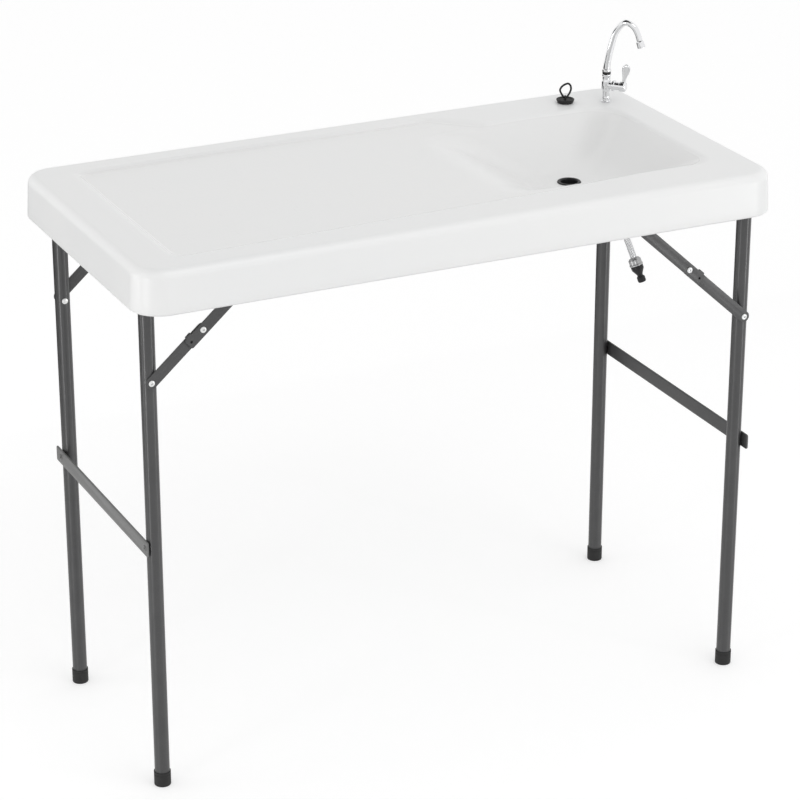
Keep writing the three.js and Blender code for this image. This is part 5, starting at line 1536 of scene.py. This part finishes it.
def make_leg_frames():
    # The left crossbar gets the powder coat painted lighter, as painted light where the light from the left
    # reaches it
    for frame_name, finish in (("left", "light_coat"), ("right", "powder_coat")):
        for side_name, side in (("front", -1), ("back", 1)):
            stem = f"{frame_name}_{side_name}"
            make_leg(stem)
            make_foot(stem)
            make_lower_link(stem, side)
            make_upper_link(stem, side)
            for place in ("leg", "elbow", "anchor"):
                make_rivet(f"{stem}_{place}_rivet", side, place == "leg")
        make_pivot_tube(frame_name)
        make_crossbar(frame_name, finish)


# Faucet

def faucet_matrix():
    place = Matrix.Translation((Top.faucet.x, Top.faucet.y, Top.rim))
    return place @ Matrix.Rotation(FAUCET_TURN, 4, "Z")


def add_chrome(name, mesh, node):
    """A chrome piece that was made at the faucet's foot."""
    add_piece(name, moved(mesh, faucet_matrix()), "chrome", node)


def barrel_matrix():
    """From upright to along the side barrel."""
    return Matrix.Translation((0, 0, BARREL_HEIGHT)) @ Matrix.Rotation(math.pi / 2, 4, "Y")


def make_faucet_base():
    bore, flange = SHANK_RADIUS + FIT_GAP, BASE_RADIUS + BASE_STEP
    add_chrome("chrome_base", lathed([
        (bore, FIT_GAP), (flange, FIT_GAP), (flange, 2.5 * BASE_STEP), (BASE_RADIUS, 3.5 * BASE_STEP),
        (BASE_RADIUS, BASE_HEIGHT), (bore, BASE_HEIGHT), (bore, FIT_GAP),
    ], THIN_FILLET), "faucet_base")


def make_faucet_body():
    """The cast column and its side barrel, made as one."""
    foot = BASE_HEIGHT + FIT_GAP
    low, high = BARREL_HEIGHT - BARREL_RADIUS, BARREL_HEIGHT + BARREL_RADIUS
    column = lathed([
        (0, -SHANK_LENGTH), (SHANK_RADIUS, -SHANK_LENGTH), (SHANK_RADIUS, foot), (BASE_RADIUS, foot),
        (WAIST_RADIUS, foot + 3 * BASE_STEP), (WAIST_RADIUS, low - 3 * BASE_STEP),
        (COLUMN_RADIUS, low), (COLUMN_RADIUS, high), (WAIST_RADIUS, high + 3 * BASE_STEP),
        (WAIST_RADIUS, COLUMN_HEIGHT - 5 * BASE_STEP), (COLUMN_RADIUS, COLUMN_HEIGHT - 3 * BASE_STEP),
        (COLUMN_RADIUS, COLUMN_HEIGHT), (0, COLUMN_HEIGHT),
    ], LARGE_FILLET)
    ring_end = BARREL_RING_START + BARREL_RING_WIDTH
    barrel = lathed([
        (0, 0), (BARREL_RADIUS, 0), (BARREL_RADIUS - BASE_STEP, BARREL_RING_START - BASE_STEP),
        (BARREL_RADIUS, BARREL_RING_START), (BARREL_RING_RADIUS, BARREL_RING_START),
        (BARREL_RING_RADIUS, ring_end), (BARREL_RADIUS, ring_end),
        (BARREL_RADIUS, BARREL_REACH), (0, BARREL_REACH),
    ], MEDIUM_FILLET)
    add_chrome("chrome_body", united(column, moved(barrel, barrel_matrix())), "faucet_body")


def lever_section(share):
    """Half width and half thickness of the paddle at a share of its height."""
    swell = float(smooth_share((share - LEVER_SWELL_START_SHARE) / LEVER_SWELL_LENGTH_SHARE))
    half = lerp(LEVER_ROOT_HALF, LEVER_TIP_HALF, swell)
    neck = 1 - LEVER_TIP_HALF / LEVER_HEIGHT
    over = max(0.0, (share - neck) / (1 - neck))
    round_off = math.sqrt(max(0.0, 1 - over * over))
    thick = LEVER_THICKNESS / 2 * lerp(1, LEVER_TIP_THICKNESS_SHARE, share)
    return half * round_off, thick * math.sqrt(max(round_off, LEVER_LEAST_TIP_SHARE))


def make_lever():
    """The hub on the barrel's end and the leaning paddle above it."""
    start = BARREL_REACH + FIT_GAP
    end = start + LEVER_HUB_LENGTH
    hub = moved(lathed([
        (0, start), (LEVER_HUB_RADIUS, start), (LEVER_HUB_RADIUS, end - LEVER_HUB_LIP),
        (LEVER_HUB_RADIUS * LEVER_HUB_FACE_SHARE, end), (0, end),
    ], BROAD_FILLET), barrel_matrix())
    verts = []
    for i in range(LEVER_ROWS + 1):
        share = i / LEVER_ROWS
        half, thick = lever_section(min(share, LEVER_LAST_ROW_SHARE))
        for k in range(LEVER_SIDES):
            angle = 2 * math.pi * k / LEVER_SIDES
            around = math.copysign(abs(math.sin(angle)) ** LEVER_FLATNESS, math.sin(angle))
            verts.append((half * math.cos(angle), thick * around, LEVER_HEIGHT * share))
    lean = Matrix.Rotation(math.atan2(LEVER_LEAN, LEVER_HEIGHT), 4, "Y")
    root = Matrix.Translation((start + LEVER_HUB_LENGTH / 2, 0, BARREL_HEIGHT))
    paddle = outward(moved(mesh_of(verts, ring_faces(LEVER_ROWS + 1, LEVER_SIDES)), root @ lean))
    add_chrome("chrome_lever", united(hub, paddle), "faucet_lever")


def make_seal():
    low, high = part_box("spout_seal")
    radius = (high.x - low.x) / 2
    bottom, top = low.z - Top.rim, high.z - Top.rim
    mesh = lathed([(0, bottom), (radius, bottom), (radius, top), (0, top)], SMALL_FILLET)
    add_piece("spout_seal_ring", moved(mesh, faucet_matrix()), "black_rubber", "spout_seal")
    return top


def make_spout(seal_top):
    foot = seal_top + FIT_GAP
    points = [Vector((SPOUT_REACH * out, 0, SPOUT_ROOT + SPOUT_RISE * up)) for out, up in SPOUT_PATH_SHARES]
    route = smooth_route(points, SPOUT_STEP)
    crown = max(p.z + lerp(SPOUT_RADIUS, SPOUT_TIP_RADIUS, k / len(route)) for k, p in enumerate(route))
    fit = (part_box("spout")[1].z - Top.rim - SPOUT_ROOT) / (crown - SPOUT_ROOT)
    for point in route:
        point.z = SPOUT_ROOT + (point.z - SPOUT_ROOT) * min(fit, 1)
    tube = swept(route, lambda share, angle: lerp(SPOUT_RADIUS, SPOUT_TIP_RADIUS, share), SPOUT_SIDES)
    collar_radius, collar_top = SPOUT_RADIUS + SPOUT_COLLAR_STEP, foot + SPOUT_COLLAR_HEIGHT
    collar = lathed([
        (0, foot), (collar_radius, foot), (collar_radius, collar_top - SPOUT_COLLAR_EDGE),
        (SPOUT_RADIUS, collar_top), (0, collar_top),
    ], SMALL_FILLET)
    add_chrome("chrome_spout", united(tube, collar), "spout")

    inner, mouth = AERATOR_RADIUS - 1.6 * AERATOR_EDGE, AERATOR_LENGTH - 3 * AERATOR_EDGE
    nozzle = lathed([
        (0, FIT_GAP), (AERATOR_RADIUS - AERATOR_EDGE, FIT_GAP), (AERATOR_RADIUS, 1.6 * AERATOR_EDGE),
        (AERATOR_RADIUS, AERATOR_LENGTH), (inner, AERATOR_LENGTH), (inner, mouth), (0, mouth),
    ], THIN_FILLET)
    add_chrome("chrome_aerator", moved(nozzle, end_matrix(route)), "aerator")


# Plug and drain

def make_plug():
    """The stopper with its lug, and the wire ring through the lug's eye."""
    low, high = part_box("sink_plug")
    centre = (low + high) / 2
    place = Matrix.Translation((centre.x, centre.y, low.z)) @ Matrix.Rotation(PLUG_TURN, 4, "Z")
    dish = PLUG_HEIGHT - PLUG_DISH
    root = dish - PLUG_DISH
    stopper = lathed([
        (0, 0), (PLUG_BOTTOM_RADIUS, 0), (PLUG_TOP_RADIUS - PLUG_DISH / 2, root), (PLUG_TOP_RADIUS, dish),
        (PLUG_TOP_RADIUS, PLUG_HEIGHT), (PLUG_TOP_RADIUS - 2 * PLUG_DISH, PLUG_HEIGHT),
        (PLUG_TOP_RADIUS - 3 * PLUG_DISH, dish), (0, dish),
    ], MEDIUM_FILLET)
    eye = dish + LUG_HEIGHT - LUG_HALF
    outline = [(LUG_HALF, root), *arc(0, eye, LUG_HALF, 0, math.pi, LUG_ARC_STEPS), (-LUG_HALF, root)]
    lug = plate(outline, [circle(0, eye, LUG_EYE_RADIUS)], LUG_THICKNESS)
    turn = Matrix(((0, 0, 1, -LUG_THICKNESS / 2), (1, 0, 0, 0), (0, 1, 0, 0), (0, 0, 0, 1)))
    add_piece("rubber_plug", moved(united(stopper, moved(lug, turn)), place), "black_rubber", "sink_plug")

    points = [Vector((x * RING_WIDTH / 2, 0, eye + up * RING_HEIGHT)) for x, up in RING_OUTLINE_SHARES]
    route = smooth_route(points, RING_STEP, closed=True)
    wire = swept(route, lambda share, angle: RING_WIRE_RADIUS, RING_SIDES, closed=True)
    add_piece("plug_wire_ring", moved(wire, place), "black_wire", "plug_ring")


def make_drain():
    """The flange round the drain, with its tail pipe."""
    low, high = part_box("drain_flange")
    lip = high.z
    seat = lip - DRAIN_FLANGE_THICKNESS
    mesh = lathed([
        (DRAIN_BORE_RADIUS, low.z), (DRAIN_TAIL_RADIUS, low.z), (DRAIN_TAIL_RADIUS, seat),
        (DRAIN_FLANGE_RADIUS, seat), (DRAIN_FLANGE_RADIUS - DRAIN_LIP_EDGE, lip),
        (DRAIN_BORE_RADIUS + DRAIN_FLANGE_THICKNESS, lip), (DRAIN_BORE_RADIUS, seat),
        (DRAIN_BORE_RADIUS, low.z),
    ], HAIR_FILLET)
    add_piece("drain_fitting", standing(mesh, "drain_flange"), "black_plastic", "drain_flange")


# CAD nodes that keep their shape

KEPT_FINISHES = {
    "drain_gasket": "black_rubber", "drain_nut": "black_plastic",
    "faucet_washer": "black_rubber", "faucet_nut": "zinc", "hose_top_nut": "zinc",
}


def soften_kept_nodes():
    """Rounded edges and a real finish for the solids that stay."""
    kept = dict(KEPT_FINISHES)
    for end in ("left", "right"):
        for side in ("front", "back"):
            kept[f"{end}_{side}_anchor_bracket"] = "powder_coat"
            kept[f"{end}_{side}_pivot_bracket"] = "powder_coat"
    for name, finish in kept.items():
        node = frame["nodes"][name]
        node.data.materials.clear()
        node.data.materials.append(finishes[finish])
        weld = node.modifiers.new("weld", "WELD")
        weld.merge_threshold = WELD_DISTANCE
        bevel = node.modifiers.new("edges", "BEVEL")
        bevel.width = KEPT_EDGE_BEVEL
        bevel.segments = BEVEL_STEPS
        bevel.limit_method = "ANGLE"
        bevel.angle_limit = SHARP_ANGLE
        bevel.use_clamp_overlap = True
        normals = node.modifiers.new("normals", "WEIGHTED_NORMAL")
        normals.keep_sharp = False


place_camera()
finishes = make_finishes()
hose_exit = Vector((Top.faucet.x, Top.faucet.y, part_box("hose")[1].z))
hose_route = smooth_route([hose_exit + Vector(offset) for offset in HOSE_ROUTE], HOSE_STEP)
hose_length = sum((b - a).length for a, b in zip(hose_route, hose_route[1:]))
make_hose()
light_studio()
make_top()
make_drain()
make_leg_frames()
make_faucet_base()
make_faucet_body()
make_lever()
make_spout(make_seal())
make_plug()
soften_kept_nodes()
bpy.context.scene.view_settings.view_transform = "Standard"
